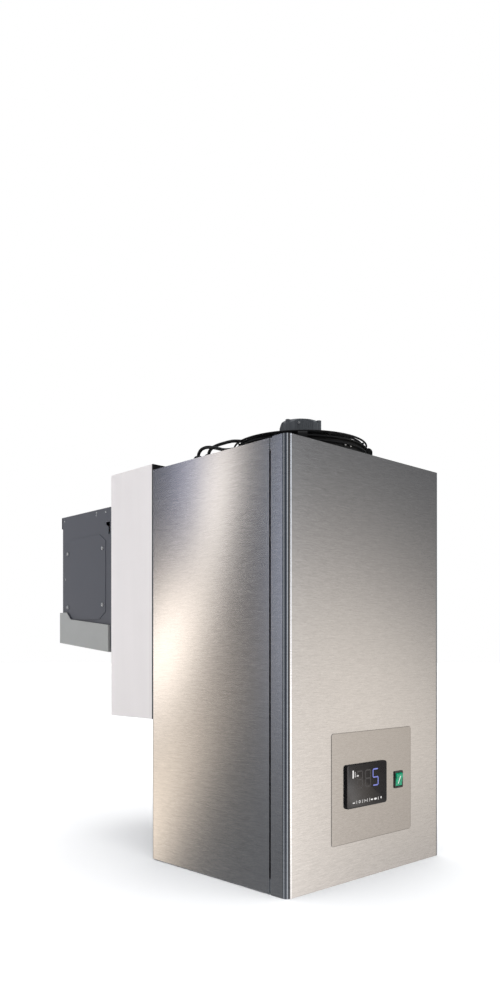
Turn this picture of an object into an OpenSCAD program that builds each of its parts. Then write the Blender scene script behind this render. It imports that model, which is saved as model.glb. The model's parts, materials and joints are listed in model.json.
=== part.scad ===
// Monoblock refrigeration unit: condensing cabinet, insulated wall plug and evaporator.
// Millimetres. +Z is up, the stainless front cover faces -Y and the evaporator is at +Y.
// The origin is under the middle of the whole unit, on the plane that the base tray stands on.

/* [Cabinet] */
// Width of the cabinet
cabinet_w = 425; // [410:1:460]
// Depth of the cabinet, without the wall plug
cabinet_d = 353; // [345:1:390]
// Height of the cabinet
cabinet_h = 740; // [725:1:790]
// Thickness of the stainless panels
sheet_t = 1.2; // [0.8:0.1:1.5]
// Outside radius of the front cover's two bent corners
bend_r = 10; // [6:0.5:14]
// Depth of the front cover's side returns
return_d = 36; // [30:1:42]
// Shadow gap between a return and the side panel
cover_gap = 4; // [2:0.5:6]
// Thickness of the galvanised base tray
base_t = 2; // [1.5:0.1:3]
// Height of the base tray's upturned edge
base_lip_h = 25; // [18:1:35]
// Running gap between neighbouring sheet parts
fit = 0.3; // [0.2:0.05:0.4]

/* [Controls] */
// Width of the label panel
label_w = 224; // [216:1:232]
// Height of the label panel
label_h = 190; // [180:1:200]
// Width of the controller's front
controller_w = 111; // [106:1:116]
// Height of the controller's front
controller_h = 75; // [70:1:80]
// How far the controller stands out of the front cover
controller_proud = 5; // [4:0.5:6]
// Width of the rocker switch's frame
switch_w = 25.5; // [24:0.5:28]
// Height of the rocker switch's frame
switch_h = 31; // [29:0.5:33]
// Tilt of the rocker away from its middle position
rocker_tilt = 8; // [6:0.5:10]

/* [Condenser fan] */
// Distance of the fan's axis behind the front cover
fan_back = 170; // [165:1:180]
// Bore radius of the fan ring
ring_r = 120; // [116:1:122]
// Height of the fan ring above the top panel
ring_rise = 36; // [30:1:38]
// Tip radius of the condenser fan's blades
blade_r = 115; // [108:1:115]
// Number of blades on the condenser fan
blade_count = 5; // [3:1:6]
// Height of the wire guard above the top panel
guard_rise = 45.5; // [43:0.5:50]
// Wire radius of the condenser fan's guard
guard_wire_r = 1.75; // [1.25:0.25:1.75]
// Number of spokes in the guard
guard_spokes = 8; // [8:4:12]
// Width across the flats of the fan motor
motor_w = 72; // [68:1:76]
// Height of the fan motor above the guard
motor_h = 47; // [42:1:52]

/* [Wall plug] */
// Depth of the wall plug
plug_d = 137; // [100:1:150]
// Height of the wall plug
plug_h = 484; // [470:1:500]
// Height of the plug's underside above the floor
plug_z = 266; // [255:1:275]
// Thickness of the plug's white skin
skin_t = 1.5; // [1:0.1:2.5]
// Thickness of the seal between cabinet and plug
gasket_t = 3; // [2:0.5:4]

/* [Evaporator] */
// Width of the evaporator's casing
hood_w = 385; // [375:1:390]
// Depth of the evaporator's casing
hood_d = 222; // [218:1:240]
// Height of the casing's top above the floor
hood_top = 694; // [688:1:710]
// Thickness of the casing's sheet
hood_t = 1.2; // [0.8:0.1:1.5]
// Width of the drip tray
tray_w = 395; // [395:1:400]
// Thickness of the drip tray's sheet
tray_t = 1.2; // [0.8:0.1:1.5]
// Tip radius of the evaporator fan's blades
cold_blade_r = 84; // [76:1:85]
// Number of blades on the evaporator fan
cold_blade_count = 5; // [3:1:6]

/* [Refrigerant circuit] */
// Outside radius of the coils' tubes
tube_r = 4.8; // [4:0.1:5]
// Wall of the coils' tubes
tube_wall = 0.8; // [0.5:0.1:1]
// Distance between neighbouring fins
fin_pitch = 8; // [6:1:12]
// Thickness of a fin
fin_t = 0.5; // [0.3:0.1:0.8]
// Radius of the compressor's shell
shell_r = 80; // [76:1:84]
// Height of the compressor's shell
shell_h = 176; // [165:1:190]

/* [Hidden] */
$fn = 48;

// General clearances
over = 1;
shaft_gap = 0.05;
tube_gap = 0.05;
weld_gap = 0.05;

// Planes of the unit, from front to back
nose = 4.5;
total_d = controller_proud + cabinet_d + gasket_t + plug_d + hood_d + nose;
front_y = controller_proud - total_d / 2;
back_y = front_y + cabinet_d;
plug_y0 = back_y + gasket_t;
plug_y1 = plug_y0 + plug_d;
hood_y1 = plug_y1 + hood_d;
end_y = hood_y1 + nose;

// Cabinet
half_w = cabinet_w / 2;
deck_gap = sheet_t + fit;
panel_z0 = deck_gap;
panel_z1 = cabinet_h - deck_gap;
deck_w = cabinet_w - 2 * deck_gap;
deck_y0 = front_y + deck_gap;
deck_y1 = back_y - 2 * deck_gap;
deck_r = bend_r - deck_gap;
side_y0 = front_y + return_d + cover_gap;
side_y1 = back_y - deck_gap;
rear_flange = 15;
deck_flange = 20;
cover_flange = 14;
notch_d = 3.5;
notch_h = 12;
inlet_w = 9;
inlet_pitch = 20;
inlet_count = 12;
inlet_banks = [[95, 70], [305, 50]];

// Corner posts
post_t = 1.5;
post_flange = 20;
post_lap = 16;
post_x1 = deck_w / 2 - base_t - fit;
post_x0 = post_x1 - post_flange;
post_y0 = front_y + bend_r + fit + base_t;
post_y1 = side_y0 + post_lap;
post_z1 = panel_z1 - sheet_t - fit;

// Holes in the back panel
wall_hole_r = 4.5;
wall_hole_dx = 340;
wall_hole_dz = 160;
wall_hole_z = 140;
service_r = 30;
back_screw_r = 2;
back_screw_head_r = 4.5;
back_screw_head_t = 2.4;
back_screw_inset = 8;
back_screw_zs = [40, 240];

// Controls
label_t = 0.5;
label_r = 5;
label_x = 6;
label_z = 160.5;
controller_x = -15.5;
controller_z = 162;
controller_r = 5;
lens_t = 2.5;
housing_w = 102;
housing_h = 67;
housing_d = 60;
housing_r = 2;
switch_x = 79.5;
switch_z = 160.5;
switch_r = 2;
switch_frame_t = 1.5;
switch_body_w = 21.5;
switch_body_h = 27.5;
switch_body_d = 20;
rocker_w = 18;
rocker_r = 12;
rocker_face = 5.5;
rocker_sink = 4;
rocker_gap = 0.5;
rocker_pin_r = 1.5;
rocker_pin_l = 1.2;
rocker_y = front_y - label_t - switch_frame_t + rocker_sink;

// Electrical box, carried on the two corner posts
box_z0 = 250;
box_h = 140;
box_t = 1;
box_x = post_x0 - fit;
box_y0 = post_y0 + post_t;
box_ear = 14;
box_lid_lip = 8;
box_gland_r = 8;
terminal_w = 120;
terminal_h = 24;
terminal_d = 22;
terminal_count = 10;
terminal_slot = 7;
terminal_slot_d = 9;

// Compressor
comp_x = -20;
comp_back = 205;
comp_y = front_y + comp_back;
comp_wall = 10;
comp_seam_t = 6;
comp_seam_w = 3;
comp_dome = 34;
comp_plate_w = 200;
comp_plate_d = 118;
comp_plate_t = 3;
comp_plate_r = 14;
comp_bolt_dx = 170;
comp_bolt_dy = 90;
grommet_r = 12;
grommet_neck_r = 8;
grommet_h = 20;
grommet_lip = 4;
bolt_r = 4;
bolt_head_r = 7;
bolt_head_t = 5;
comp_plate_z = base_t + grommet_h;
comp_z0 = comp_plate_z + comp_plate_t;
comp_z1 = comp_z0 + shell_h;
cover_box_w = 52;
cover_box_h = 60;
cover_box_d = 24;
cover_box_r = 4;
suction_port_rise = 80;
suction_port_z = comp_z0 + suction_port_rise;
discharge_port_x = 34;

// Condenser coil
cond_rows = 2;
cond_cols = 10;
coil_pitch = 25;
cond_margin_y = 30;
cond_margin_z = 12;
cond_d = cond_cols * coil_pitch + cond_margin_y;
cond_h = cond_rows * coil_pitch + cond_margin_z;
coil_drop = 128;
cond_z0 = cabinet_h - coil_drop;
cond_y = front_y + cabinet_d / 2;
coil_inset = 38.5;
cond_x = half_w - coil_inset;
end_plate_t = 1.2;
end_plate_gap = 2;
stub_l = 12;

// Condenser fan
fan_x = 0;
fan_y = front_y + fan_back;
ring_t = 1.5;
ring_drop = 24;
ring_bead_r = 1.6;
ring_flange_w = 5.5;
ring_flange_t = 1.5;
guard_r = 125.5;
guard_pitch = 8;
guard_inner_r = 61.5;
side_ring_count = 4;
motor_plate_r = 54;
motor_plate_t = 2;
motor_turn = 10;
motor_r = 16;
motor_boss_r = 4.5;
motor_boss_pcd = 84;
motor_crown_r = 36;
motor_boss_drop = 1.5;
motor_shoulder_h = 12;
motor_shoulder_r = 48;
motor_lead_z = 800;
motor_rib_pitch = 4;
motor_rib_w = 1.6;
motor_rib_d = 1;
motor_ribs = 9;
shaft_r = 4;
shaft_in = 20;
hub_r = 27;
hub_h = 30;
hub_wall = 3;
blade_t = 1.6;
blade_pitch = 26;
blade_camber_r = 95;
blade_plan_r = 36;
blade_plan_in = 42;
blade_plan_at = blade_r - blade_plan_in;
blade_gap = 10;
leg_w = 16;
leg_t = 2;
leg_out_r = 137;
leg_shoulder = 8;
leg_foot = 14;
leg_tab = 9;
foot_screw_r = 2.5;
foot_screw_at = 144.5;
screw_head_r = 4.2;
screw_head_t = 2.2;

ring_z = panel_z1;
guard_top = ring_z + guard_rise;
guard_ring_z = guard_top - guard_wire_r;
guard_spoke_z = guard_ring_z - 2 * guard_wire_r - weld_gap;
motor_z0 = guard_spoke_z + guard_wire_r + weld_gap + motor_plate_t;
hub_z1 = guard_spoke_z - guard_wire_r - blade_gap;
hub_z0 = hub_z1 - hub_h;

// Leads and glands on the top panel
gland_r = 9;
gland_af_r = 11.5;
gland_base_h = 6;
gland_h = 19;
gland_neck_r = 6;
gland_places = [[-167.5, 272], [-162.5, 248]];
grommet_place = [-162.5, 152];
lead_grommet_r = 9;
lead_grommet_h = 4;
lead_grommet_neck_r = 6;
lead_r = 3;
lead_sides = 10;
lead_steps = 3;
lead_gap = 0.05;
motor_lead_at = 150;
link_route = [
    [-167.5, 272, 742], [-167.5, 272, 757.5], [-167.5, 272, 760], [-167.5, 266, 767],
    [-167.5, 258, 769.5],
    [-167.5, 247, 769.5], [-167.5, 231, 766], [-167, 216, 761.5], [-166.5, 204, 757.5],
    [-165.5, 190, 755], [-164.5, 176, 754], [-163.5, 164, 753], [-162.5, 155, 750],
    [-162.5, 152, 745], [-162.5, 152, 742.5], [-162.5, 152, 738.5]
];
fan_route = [
    [-162.5, 248, 742], [-162.5, 248, 757.5], [-162.5, 248, 760], [-160, 243, 768],
    [-155, 237, 772.5],
    [-148, 233, 776], [-138, 231, 780], [-126, 232, 784.5], [-115, 234, 788],
    [-104, 231, 789.5], [-90, 222, 789.5], [-74, 212, 790], [-58, 203, 793],
    [-46, 196.5, 797.5], [-38, 191.94, 800], [-30, 187.32, 800]
];

// Wall plug
gasket_w = 40;

// Evaporator casing
hood_lip_h = 25;
hood_x = hood_w / 2;

// Pipe passage, inside the cabinet's side as well as the casing's
service_side = 62.5;
service_step_x = 20;
service_x = service_side - min(half_w, hood_x + service_step_x);
service_drop = 174;
service_z = hood_top - service_drop;

// Casing's flanges, notch and access covers
hood_flange = 20;
hood_leg_z = 394;
hood_skirt_z = 425;
notch_z0 = 638;
notch_z1 = 664;
notch_y0 = 35;
notch_y1 = 49;
notch_step = 5;
access_w = 158;
access_h = 178;
access_x = 129.5;
access_z = 552;
access_cut_x = 22;
access_cut_z = 15;
access_t = 1;
access_lap = 9;
access_screw_dx = 138;
access_screw_dz = 118;
slot_w = 300;
slot_h = 8;
slot_pitch = 15;
slot_count = 4;
slot_y = 14;
back_flange = 12;

// Drip tray
tray_x = tray_w / 2;
tray_y0 = 34;
tray_z0 = 393.5;
tray_rise = 21;
tray_side_h = 56;
tray_tip_h = 67;
tray_tip_l = 28;
tray_ramp_l = 16;
peg_r = 5;
peg_places = [[66, 434], [196, 446]];
spout_r = 9;
spout_wall = 2;
spout_l = 24;
spout_collar_r = 13;
spout_collar_t = 3;
spout_at = 26;

// Evaporator coil
cold_rows = 3;
cold_cols = 8;
cold_y0 = 72;
cold_z0 = 466;
cold_d = cold_rows * coil_pitch;
cold_margin_z = 8;
cold_h = cold_cols * coil_pitch + cold_margin_z;
cold_x = 158;

// Evaporator fan
cold_fan_z = (tray_z0 + tray_rise + tray_tip_h + hood_top - hood_lip_h) / 2;
cold_ring_gap = 4;
cold_ring_t = 1.2;
cold_ring_d = 12;
cold_wire_r = 1.1;
cold_guard_pitch = 10;
cold_guard_edge = 8;
cold_guard_r = cold_blade_r + cold_guard_edge;
cold_guard_inner_r = 30;
cold_spokes = 8;
cold_plate_r = 20;
cold_plate_t = 1.5;
cold_hub_r = 24;
cold_hub_h = 22;
cold_blade_pitch = 24;
cold_blade_camber_r = 80;
cold_blade_plan_r = 27;
cold_blade_plan_in = 31;
cold_blade_plan_at = cold_blade_r - cold_blade_plan_in;
cold_blade_in = 3;
cold_motor_w = 70;
cold_motor_h = 31;
cold_motor_r = 15;
cold_shaft_r = 3;
bracket_w = 14;
bracket_t = 2;
bracket_gap = 12;
bracket_x = 104;
bracket_dz = 24;

// Block between two corners.
module block(lo, hi) {
    translate(lo) cube(hi - lo);
}

// Rectangle with round corners, centred.
module round_rect(w, h, r) {
    square([w - 2 * r, h], center = true);
    square([w, h - 2 * r], center = true);
    for (sx = [-1, 1], sy = [-1, 1])
        translate([sx * (w / 2 - r), sy * (h / 2 - r)]) circle(r = r);
}

// Slot with round ends, centred, its length l along X.
module slot(l, w) {
    square([l - w, w], center = true);
    for (s = [-1, 1]) translate([s * (l - w) / 2, 0]) circle(r = w / 2);
}

// Plate that lies in the XZ plane, from depth y towards +Y.
module wall_plate(x, y, z, w, h, t, r) {
    translate([x, y + t, z]) rotate([90, 0, 0]) linear_extrude(t) round_rect(w, h, r);
}

// Plan of the cabinet from y = 0 back, with its two front corners rounded.
module cabinet_plan(w, d, r) {
    translate([-w / 2 + r, 0]) square([w - 2 * r, d]);
    translate([-w / 2, r]) square([w, d - r]);
    for (s = [-1, 1]) translate([s * (w / 2 - r), r]) circle(r = r);
}

// Straight round bar from point a along the unit direction d.
module bar(a, d, l, r) {
    turn = [0, acos(d.z), d.x == 0 && d.y == 0 ? 0 : atan2(d.y, d.x)];
    translate(a) rotate(turn) cylinder(h = l, r = r);
}

// Quarter bend round the corner p, from direction d1 to direction d2.
module elbow(p, d1, d2, bend, r) {
    e3 = cross(-d2, d1);
    c = p + bend * (d2 - d1);
    multmatrix([
        [-d2.x, d1.x, e3.x, c.x],
        [-d2.y, d1.y, e3.y, c.y],
        [-d2.z, d1.z, e3.z, c.z],
        [0, 0, 0, 1]
    ]) rotate_extrude(angle = 90) translate([bend, 0]) circle(r = r);
}

// Pipe along a route whose legs each run along an axis.
module pipe_run(p, bend, r) {
    n = len(p) - 1;
    dir = [for (i = [0 : n - 1]) (p[i + 1] - p[i]) / norm(p[i + 1] - p[i])];
    for (i = [0 : n - 1]) {
        a = p[i] + (i == 0 ? 0 : bend) * dir[i];
        b = p[i + 1] - (i == n - 1 ? 0 : bend) * dir[i];
        bar(a, dir[i], norm(b - a), r);
    }
    for (i = [1 : n - 1]) elbow(p[i], dir[i - 1], dir[i], bend, r);
}

// Points on a smooth curve through a route.
function spline_at(p, i, u) =
    let (n = len(p) - 1,
         a = p[max(i - 1, 0)],
         b = p[i],
         c = p[min(i + 1, n)],
         d = p[min(i + 2, n)])
    ((2 * b) + (c - a) * u + (2 * a - 5 * b + 4 * c - d) * u * u
        + (3 * b - a - 3 * c + d) * u * u * u) / 2;
function spline(p, steps) = concat(
    [for (i = [0 : len(p) - 2], s = [0 : steps - 1]) spline_at(p, i, s / steps)],
    [p[len(p) - 1]]);
function unit(v) = v / norm(v);
function tangent(q, i) = unit(q[min(i + 1, len(q) - 1)] - q[max(i - 1, 0)]);
function side_of(q, i, s) = i >= len(q) ? []
    : let (t = tangent(q, i), n = unit(s - (s * t) * t)) concat([n], side_of(q, i + 1, n));

// Round tube swept along a route in one piece.
module swept(route, r, sides, steps) {
    q = spline(route, steps);
    n = len(q);
    side = side_of(q, 0, [1, 0, 0] + [0, 0.2, 0]);
    rings = [for (i = [0 : n - 1], k = [0 : sides - 1])
        let (t = tangent(q, i), a = 360 * k / sides)
        q[i] + r * (cos(a) * side[i] + sin(a) * cross(t, side[i]))];
    walls = [for (i = [0 : n - 2], k = [0 : sides - 1], h = [0, 1])
        let (k1 = (k + 1) % sides, a = i * sides, b = a + sides)
        h == 0 ? [a + k, b + k, b + k1] : [a + k, b + k1, a + k1]];
    caps = concat(
        [for (k = [1 : sides - 2]) [0, k, k + 1]],
        [for (k = [1 : sides - 2]) [(n - 1) * sides, (n - 1) * sides + k + 1, (n - 1) * sides + k]]);
    polyhedron(rings, concat(walls, caps));
}

// One winding tube through places [y, z]; its legs run along X between -x and x.
module serpentine_form(places, x, stub, r, start) {
    n = len(places);
    for (i = [0 : n - 1]) {
        p = places[i];
        first = i == 0 ? stub : 0;
        last = i == n - 1 ? stub : 0;
        lead = start > 0 ? 0 : first + (n % 2 == 0 ? last : 0);
        tail = start > 0 ? first + (n % 2 == 0 ? last : 0) : 0;
        bar([-x - lead, p[0], p[1]], [1, 0, 0], 2 * x + lead + tail, r);
    }
    for (i = [0 : n - 2]) {
        a = places[i];
        b = places[i + 1];
        s = (i % 2 == 0 ? -1 : 1) * start;
        m = (a + b) / 2;
        half = norm(b - a) / 2;
        turn = atan2(b[1] - a[1], b[0] - a[0]);
        translate([s * x, m[0], m[1]]) rotate([turn, 0, 0]) rotate([0, 0, s > 0 ? -90 : 90])
            rotate_extrude(angle = 180) translate([half, 0]) circle(r = r);
    }
}

module serpentine(places, x, stub, r, wall, start) {
    difference() {
        serpentine_form(places, x, stub, r, start);
        serpentine_form(places, x, stub + over, r - wall, start);
    }
}

// Fins across X with a hole for each tube place.
module fin_block(places, y, z, d, h, x) {
    count = floor(2 * x / fin_pitch);
    for (i = [0 : count - 1])
        translate([(i - (count - 1) / 2) * fin_pitch - fin_t / 2, 0, 0])
            side_plate(places, y, z, d, h, fin_t);
}

// Plate across X, drilled at each tube place.
module side_plate(places, y, z, d, h, t) {
    rotate([90, 0, 90]) linear_extrude(t) difference() {
        translate([y, z]) square([d, h]);
        for (p = places) translate(p) circle(r = tube_r + tube_gap);
    }
}

// Places of the condenser's tubes: the upper row first, then back along the lower row.
cond_places = [for (k = [0 : cond_rows * cond_cols - 1])
    let (row = floor(k / cond_cols), c = k % cond_cols, col = row % 2 == 0 ? c : cond_cols - 1 - c)
    [cond_y + (col - (cond_cols - 1) / 2) * coil_pitch,
     cond_z0 + cond_h / 2 + ((cond_rows - 1) / 2 - row) * coil_pitch]];

// Places of the evaporator's tubes: the row far from the plug first, from the bottom up.
cold_places = [for (k = [0 : cold_rows * cold_cols - 1])
    let (row = floor(k / cold_cols), c = k % cold_cols, col = row % 2 == 0 ? c : cold_cols - 1 - c)
    [plug_y1 + cold_y0 + cold_d / 2 + ((cold_rows - 1) / 2 - row) * coil_pitch,
     cold_z0 + cold_h / 2 + (col - (cold_cols - 1) / 2) * coil_pitch]];

// Pipe routes between the parts of the circuit.
pipe_bend = 9;
cond_in = cond_places[0];
cond_out = cond_places[len(cond_places) - 1];
cond_end_x = cond_x + stub_l;
cold_in = cold_places[0];
cold_out = cold_places[len(cold_places) - 1];
cold_end_x = -cold_x - stub_l;
riser_side = 15.5;
riser_x = half_w - riser_side;
riser_step = 22;
discharge_rise = 90;
discharge_z = comp_z1 + discharge_rise;
shell_dip = 18;
discharge_r = 4;
drier_side = 62.5;
drier_x = half_w - drier_side;
drier_back = 130;
drier_y = front_y + drier_back;
drier_r = 13;
drier_h = 110;
drier_drop = 220;
drier_z1 = cabinet_h - drier_drop;
drier_neck_r = 5.5;
drier_neck_h = 8;
liquid_rise = 45;
liquid_z = drier_z1 + liquid_rise;
cap_r = 1.5;
cap_bend = 8;
cap_drop = 60;
cap_z = drier_z1 - drier_h - cap_drop;
service_inset = 70;
service_step = 12;
plenum_depth = 36;
plenum_y = plug_y1 + plenum_depth;
cold_side = 13.5;
cold_side_x = cold_side - hood_x;
cold_low_drop = 8;
cold_low_z = cold_z0 - cold_low_drop;
suction_bend = 11;

discharge_route = [
    [comp_x + discharge_port_x, comp_y, comp_z1 - shell_dip],
    [comp_x + discharge_port_x, comp_y, discharge_z],
    [riser_x, comp_y, discharge_z],
    [riser_x, drier_y + riser_step, discharge_z],
    [riser_x, drier_y + riser_step, cond_in[1]],
    [riser_x, cond_in[0], cond_in[1]],
    [cond_end_x, cond_in[0], cond_in[1]]
];
liquid_route = [
    [cond_end_x, cond_out[0], cond_out[1]],
    [riser_x, cond_out[0], cond_out[1]],
    [riser_x, cond_out[0], liquid_z],
    [riser_x, drier_y, liquid_z],
    [drier_x, drier_y, liquid_z],
    [drier_x, drier_y, drier_z1 + drier_neck_h]
];
capillary_route = [
    [drier_x, drier_y, drier_z1 - drier_h - drier_neck_h],
    [drier_x, drier_y, cap_z],
    [drier_x, back_y - service_inset, cap_z],
    [service_x + service_step, back_y - service_inset, cap_z],
    [service_x + service_step, back_y - service_inset, service_z - service_step],
    [service_x + service_step, plenum_y, service_z - service_step],
    [cold_side_x, plenum_y, service_z - service_step],
    [cold_side_x, plenum_y, cold_low_z],
    [cold_side_x, cold_in[0], cold_low_z],
    [cold_side_x, cold_in[0], cold_in[1]],
    [cold_end_x, cold_in[0], cold_in[1]]
];
suction_route = [
    [cold_end_x, cold_out[0], cold_out[1]],
    [cold_side_x - fit, cold_out[0], cold_out[1]],
    [cold_side_x - fit, plenum_y, cold_out[1]],
    [cold_side_x - fit, plenum_y, service_z + service_step],
    [service_x, plenum_y, service_z + service_step],
    [service_x, back_y - service_inset, service_z + service_step],
    [service_x, back_y - service_inset, suction_port_z],
    [service_x, comp_y, suction_port_z],
    [comp_x - shell_r + comp_wall, comp_y, suction_port_z]
];

// Cabinet

module base_tray() {
    color("darkgray")
    difference() {
        translate([0, deck_y0, 0]) difference() {
            linear_extrude(base_lip_h) cabinet_plan(deck_w, deck_y1 - deck_y0, deck_r);
            translate([0, base_t, base_t]) linear_extrude(base_lip_h)
                cabinet_plan(deck_w - 2 * base_t, deck_y1 - deck_y0 - 2 * base_t, deck_r - base_t);
        }
        for (bank = inlet_banks, i = [0 : inlet_count - 1])
            translate([(i - (inlet_count - 1) / 2) * inlet_pitch, front_y + bank[0], -over])
                linear_extrude(base_t + 2 * over) rotate(90) slot(bank[1], inlet_w);
        for (sx = [-1, 1], sy = [-1, 1])
            translate([comp_x + sx * comp_bolt_dx / 2, comp_y + sy * comp_bolt_dy / 2, -over])
                cylinder(h = base_t + 2 * over, r = bolt_r + shaft_gap);
    }
}

module post() {
    color("dimgray") {
        block([post_x1 - post_t, post_y0, base_t], [post_x1, post_y1, post_z1]);
        block([post_x0, post_y0, base_t], [post_x1, post_y0 + post_t, post_z1]);
        block([post_x0, post_y1 - post_t, base_t], [post_x1, post_y1, post_z1]);
    }
}

module left_post() {
    mirror([1, 0, 0]) post();
}

module right_post() {
    post();
}

module side_panel() {
    color("silver") {
        block([half_w - sheet_t, side_y0, panel_z0], [half_w, side_y1, panel_z1]);
        block([half_w - rear_flange, side_y1 - sheet_t, panel_z0], [half_w, side_y1, panel_z1]);
    }
}

module left_side_panel() {
    mirror([1, 0, 0]) side_panel();
}

module right_side_panel() {
    side_panel();
}

module front_cover() {
    color("lightgray")
    difference() {
        translate([0, front_y, 0]) {
            linear_extrude(cabinet_h) difference() {
                cabinet_plan(cabinet_w, return_d, bend_r);
                translate([0, sheet_t])
                    cabinet_plan(cabinet_w - 2 * sheet_t, return_d + over, bend_r - sheet_t);
            }
            translate([0, 0, cabinet_h - sheet_t]) linear_extrude(sheet_t) intersection() {
                cabinet_plan(cabinet_w, return_d, bend_r);
                translate([-half_w, 0]) square([cabinet_w, cover_flange]);
            }
        }
        wall_plate(controller_x, front_y - over, controller_z,
            housing_w + 2 * fit, housing_h + 2 * fit, sheet_t + 2 * over, housing_r);
        wall_plate(switch_x, front_y - over, switch_z,
            switch_body_w + 2 * fit, switch_body_h + 2 * fit, sheet_t + 2 * over, switch_r);
        for (s = [-1, 1])
            translate([s * half_w, front_y + return_d, cabinet_h])
                cube([2 * (sheet_t + over), 2 * notch_d, 2 * notch_h], center = true);
    }
}

module top_panel() {
    color("silver")
    difference() {
        translate([0, deck_y0, panel_z1 - deck_flange]) difference() {
            linear_extrude(deck_flange) cabinet_plan(deck_w, deck_y1 - deck_y0, deck_r);
            translate([0, sheet_t, -over]) linear_extrude(deck_flange - sheet_t + over)
                cabinet_plan(deck_w - 2 * sheet_t, deck_y1 - deck_y0 - 2 * sheet_t, deck_r - sheet_t);
            for (s = [-1, 1])
                translate([s * (post_x0 + post_x1) / 2, (post_y0 + post_y1) / 2 - deck_y0, 0])
                cube([post_flange + 4 * fit, post_y1 - post_y0 + 4 * fit, 2 * (deck_flange - sheet_t)],
                    center = true);
        }
        translate([fan_x, fan_y, panel_z1 - sheet_t - over])
            cylinder(h = sheet_t + 2 * over, r = ring_r + ring_t + fit);
        for (p = gland_places) translate([p.x, front_y + p.y, panel_z1 - sheet_t - over])
            cylinder(h = sheet_t + 2 * over, r = gland_neck_r + shaft_gap);
        translate([grommet_place.x, front_y + grommet_place.y, panel_z1 - sheet_t - over])
            cylinder(h = sheet_t + 2 * over, r = lead_grommet_neck_r + shaft_gap);
    }
}

module back_panel() {
    color("gainsboro")
    difference() {
        block([-half_w, back_y - sheet_t, panel_z0], [half_w, back_y, panel_z1]);
        for (sx = [-1, 1], sz = [-1, 1])
            bar([sx * wall_hole_dx / 2, back_y - sheet_t - over, wall_hole_z + sz * wall_hole_dz / 2],
                [0, 1, 0], sheet_t + 2 * over, wall_hole_r);
        for (s = [-1, 1], z = back_screw_zs)
            bar([s * (half_w - back_screw_inset), back_y - sheet_t - over, z],
                [0, 1, 0], sheet_t + 2 * over, back_screw_r + shaft_gap);
        bar([service_x, back_y - sheet_t - over, service_z], [0, 1, 0], sheet_t + 2 * over, service_r);
    }
}

module back_screws() {
    color("silver")
    for (s = [-1, 1], z = back_screw_zs) {
        bar([s * (half_w - back_screw_inset), back_y, z], [0, 1, 0],
            back_screw_head_t, back_screw_head_r);
        bar([s * (half_w - back_screw_inset), back_y - sheet_t, z], [0, 1, 0], sheet_t, back_screw_r);
    }
}

// Controls

module control_label() {
    color("darkkhaki")
    difference() {
        wall_plate(label_x, front_y - label_t, label_z, label_w, label_h, label_t, label_r);
        wall_plate(controller_x, front_y - label_t - over, controller_z,
            housing_w + 2 * fit, housing_h + 2 * fit, label_t + 2 * over, housing_r);
        wall_plate(switch_x, front_y - label_t - over, switch_z,
            switch_body_w + 2 * fit, switch_body_h + 2 * fit, label_t + 2 * over, switch_r);
    }
}

module controller_housing() {
    color("black") {
        wall_plate(controller_x, front_y - controller_proud + lens_t, controller_z,
            controller_w, controller_h, controller_proud - lens_t - label_t, controller_r);
        wall_plate(controller_x, front_y - label_t, controller_z, housing_w, housing_h,
            housing_d, housing_r);
    }
}

module controller_lens() {
    color("midnightblue")
    wall_plate(controller_x, front_y - controller_proud, controller_z,
        controller_w, controller_h, lens_t, controller_r);
}

module switch_body() {
    face = front_y - label_t - switch_frame_t;
    color("black")
    difference() {
        union() {
            wall_plate(switch_x, face, switch_z, switch_w, switch_h, switch_frame_t, switch_r);
            wall_plate(switch_x, front_y - label_t, switch_z, switch_body_w, switch_body_h,
                switch_body_d, switch_r);
        }
        translate([switch_x, (face - over + rocker_y) / 2, switch_z])
            cube([rocker_w + 2 * rocker_gap, rocker_y - face + over, 2 * (rocker_r + rocker_gap)],
                center = true);
        bar([switch_x - rocker_w / 2 - rocker_gap, rocker_y, switch_z], [1, 0, 0],
            rocker_w + 2 * rocker_gap, rocker_r + rocker_gap);
        bar([switch_x - rocker_w / 2 - rocker_pin_l, rocker_y, switch_z], [1, 0, 0],
            rocker_w + 2 * rocker_pin_l, rocker_pin_r + shaft_gap);
    }
}

module switch_rocker() {
    color("seagreen")
    translate([switch_x, rocker_y, switch_z]) rotate([rocker_tilt, 0, 0]) {
        rotate([90, 0, 90]) translate([0, 0, -rocker_w / 2]) linear_extrude(rocker_w) intersection() {
            circle(r = rocker_r);
            translate([-rocker_face, -rocker_r]) square([rocker_face + rocker_r, 2 * rocker_r]);
        }
        bar([-rocker_w / 2 - rocker_pin_l + shaft_gap, 0, 0], [1, 0, 0],
            rocker_w + 2 * (rocker_pin_l - shaft_gap), rocker_pin_r);
    }
}

// Electrical box

module electrical_box() {
    color("lightsteelblue")
    difference() {
        union() {
            block([-box_x, box_y0, box_z0], [box_x, post_y1, box_z0 + box_h]);
            block([-box_x - box_ear, post_y1, box_z0],
                [box_x + box_ear, post_y1 + box_t, box_z0 + box_h]);
        }
        block([-box_x + box_t, box_y0 - over, box_z0 + box_t],
            [box_x - box_t, post_y1, box_z0 + box_h - box_t]);
        for (s = [-1, 1]) translate([s * box_x / 2, (box_y0 + post_y1) / 2, box_z0 - over])
            cylinder(h = box_t + 2 * over, r = box_gland_r);
    }
}

module electrical_box_lid() {
    color("lightsteelblue") {
        block([-box_x, box_y0 - box_t, box_z0], [box_x, box_y0, box_z0 + box_h]);
        for (z = [box_z0 + box_t + fit, box_z0 + box_h - 2 * box_t - fit])
            block([-box_x + box_t + fit, box_y0, z],
                [box_x - box_t - fit, box_y0 + box_lid_lip, z + box_t]);
    }
}

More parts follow.
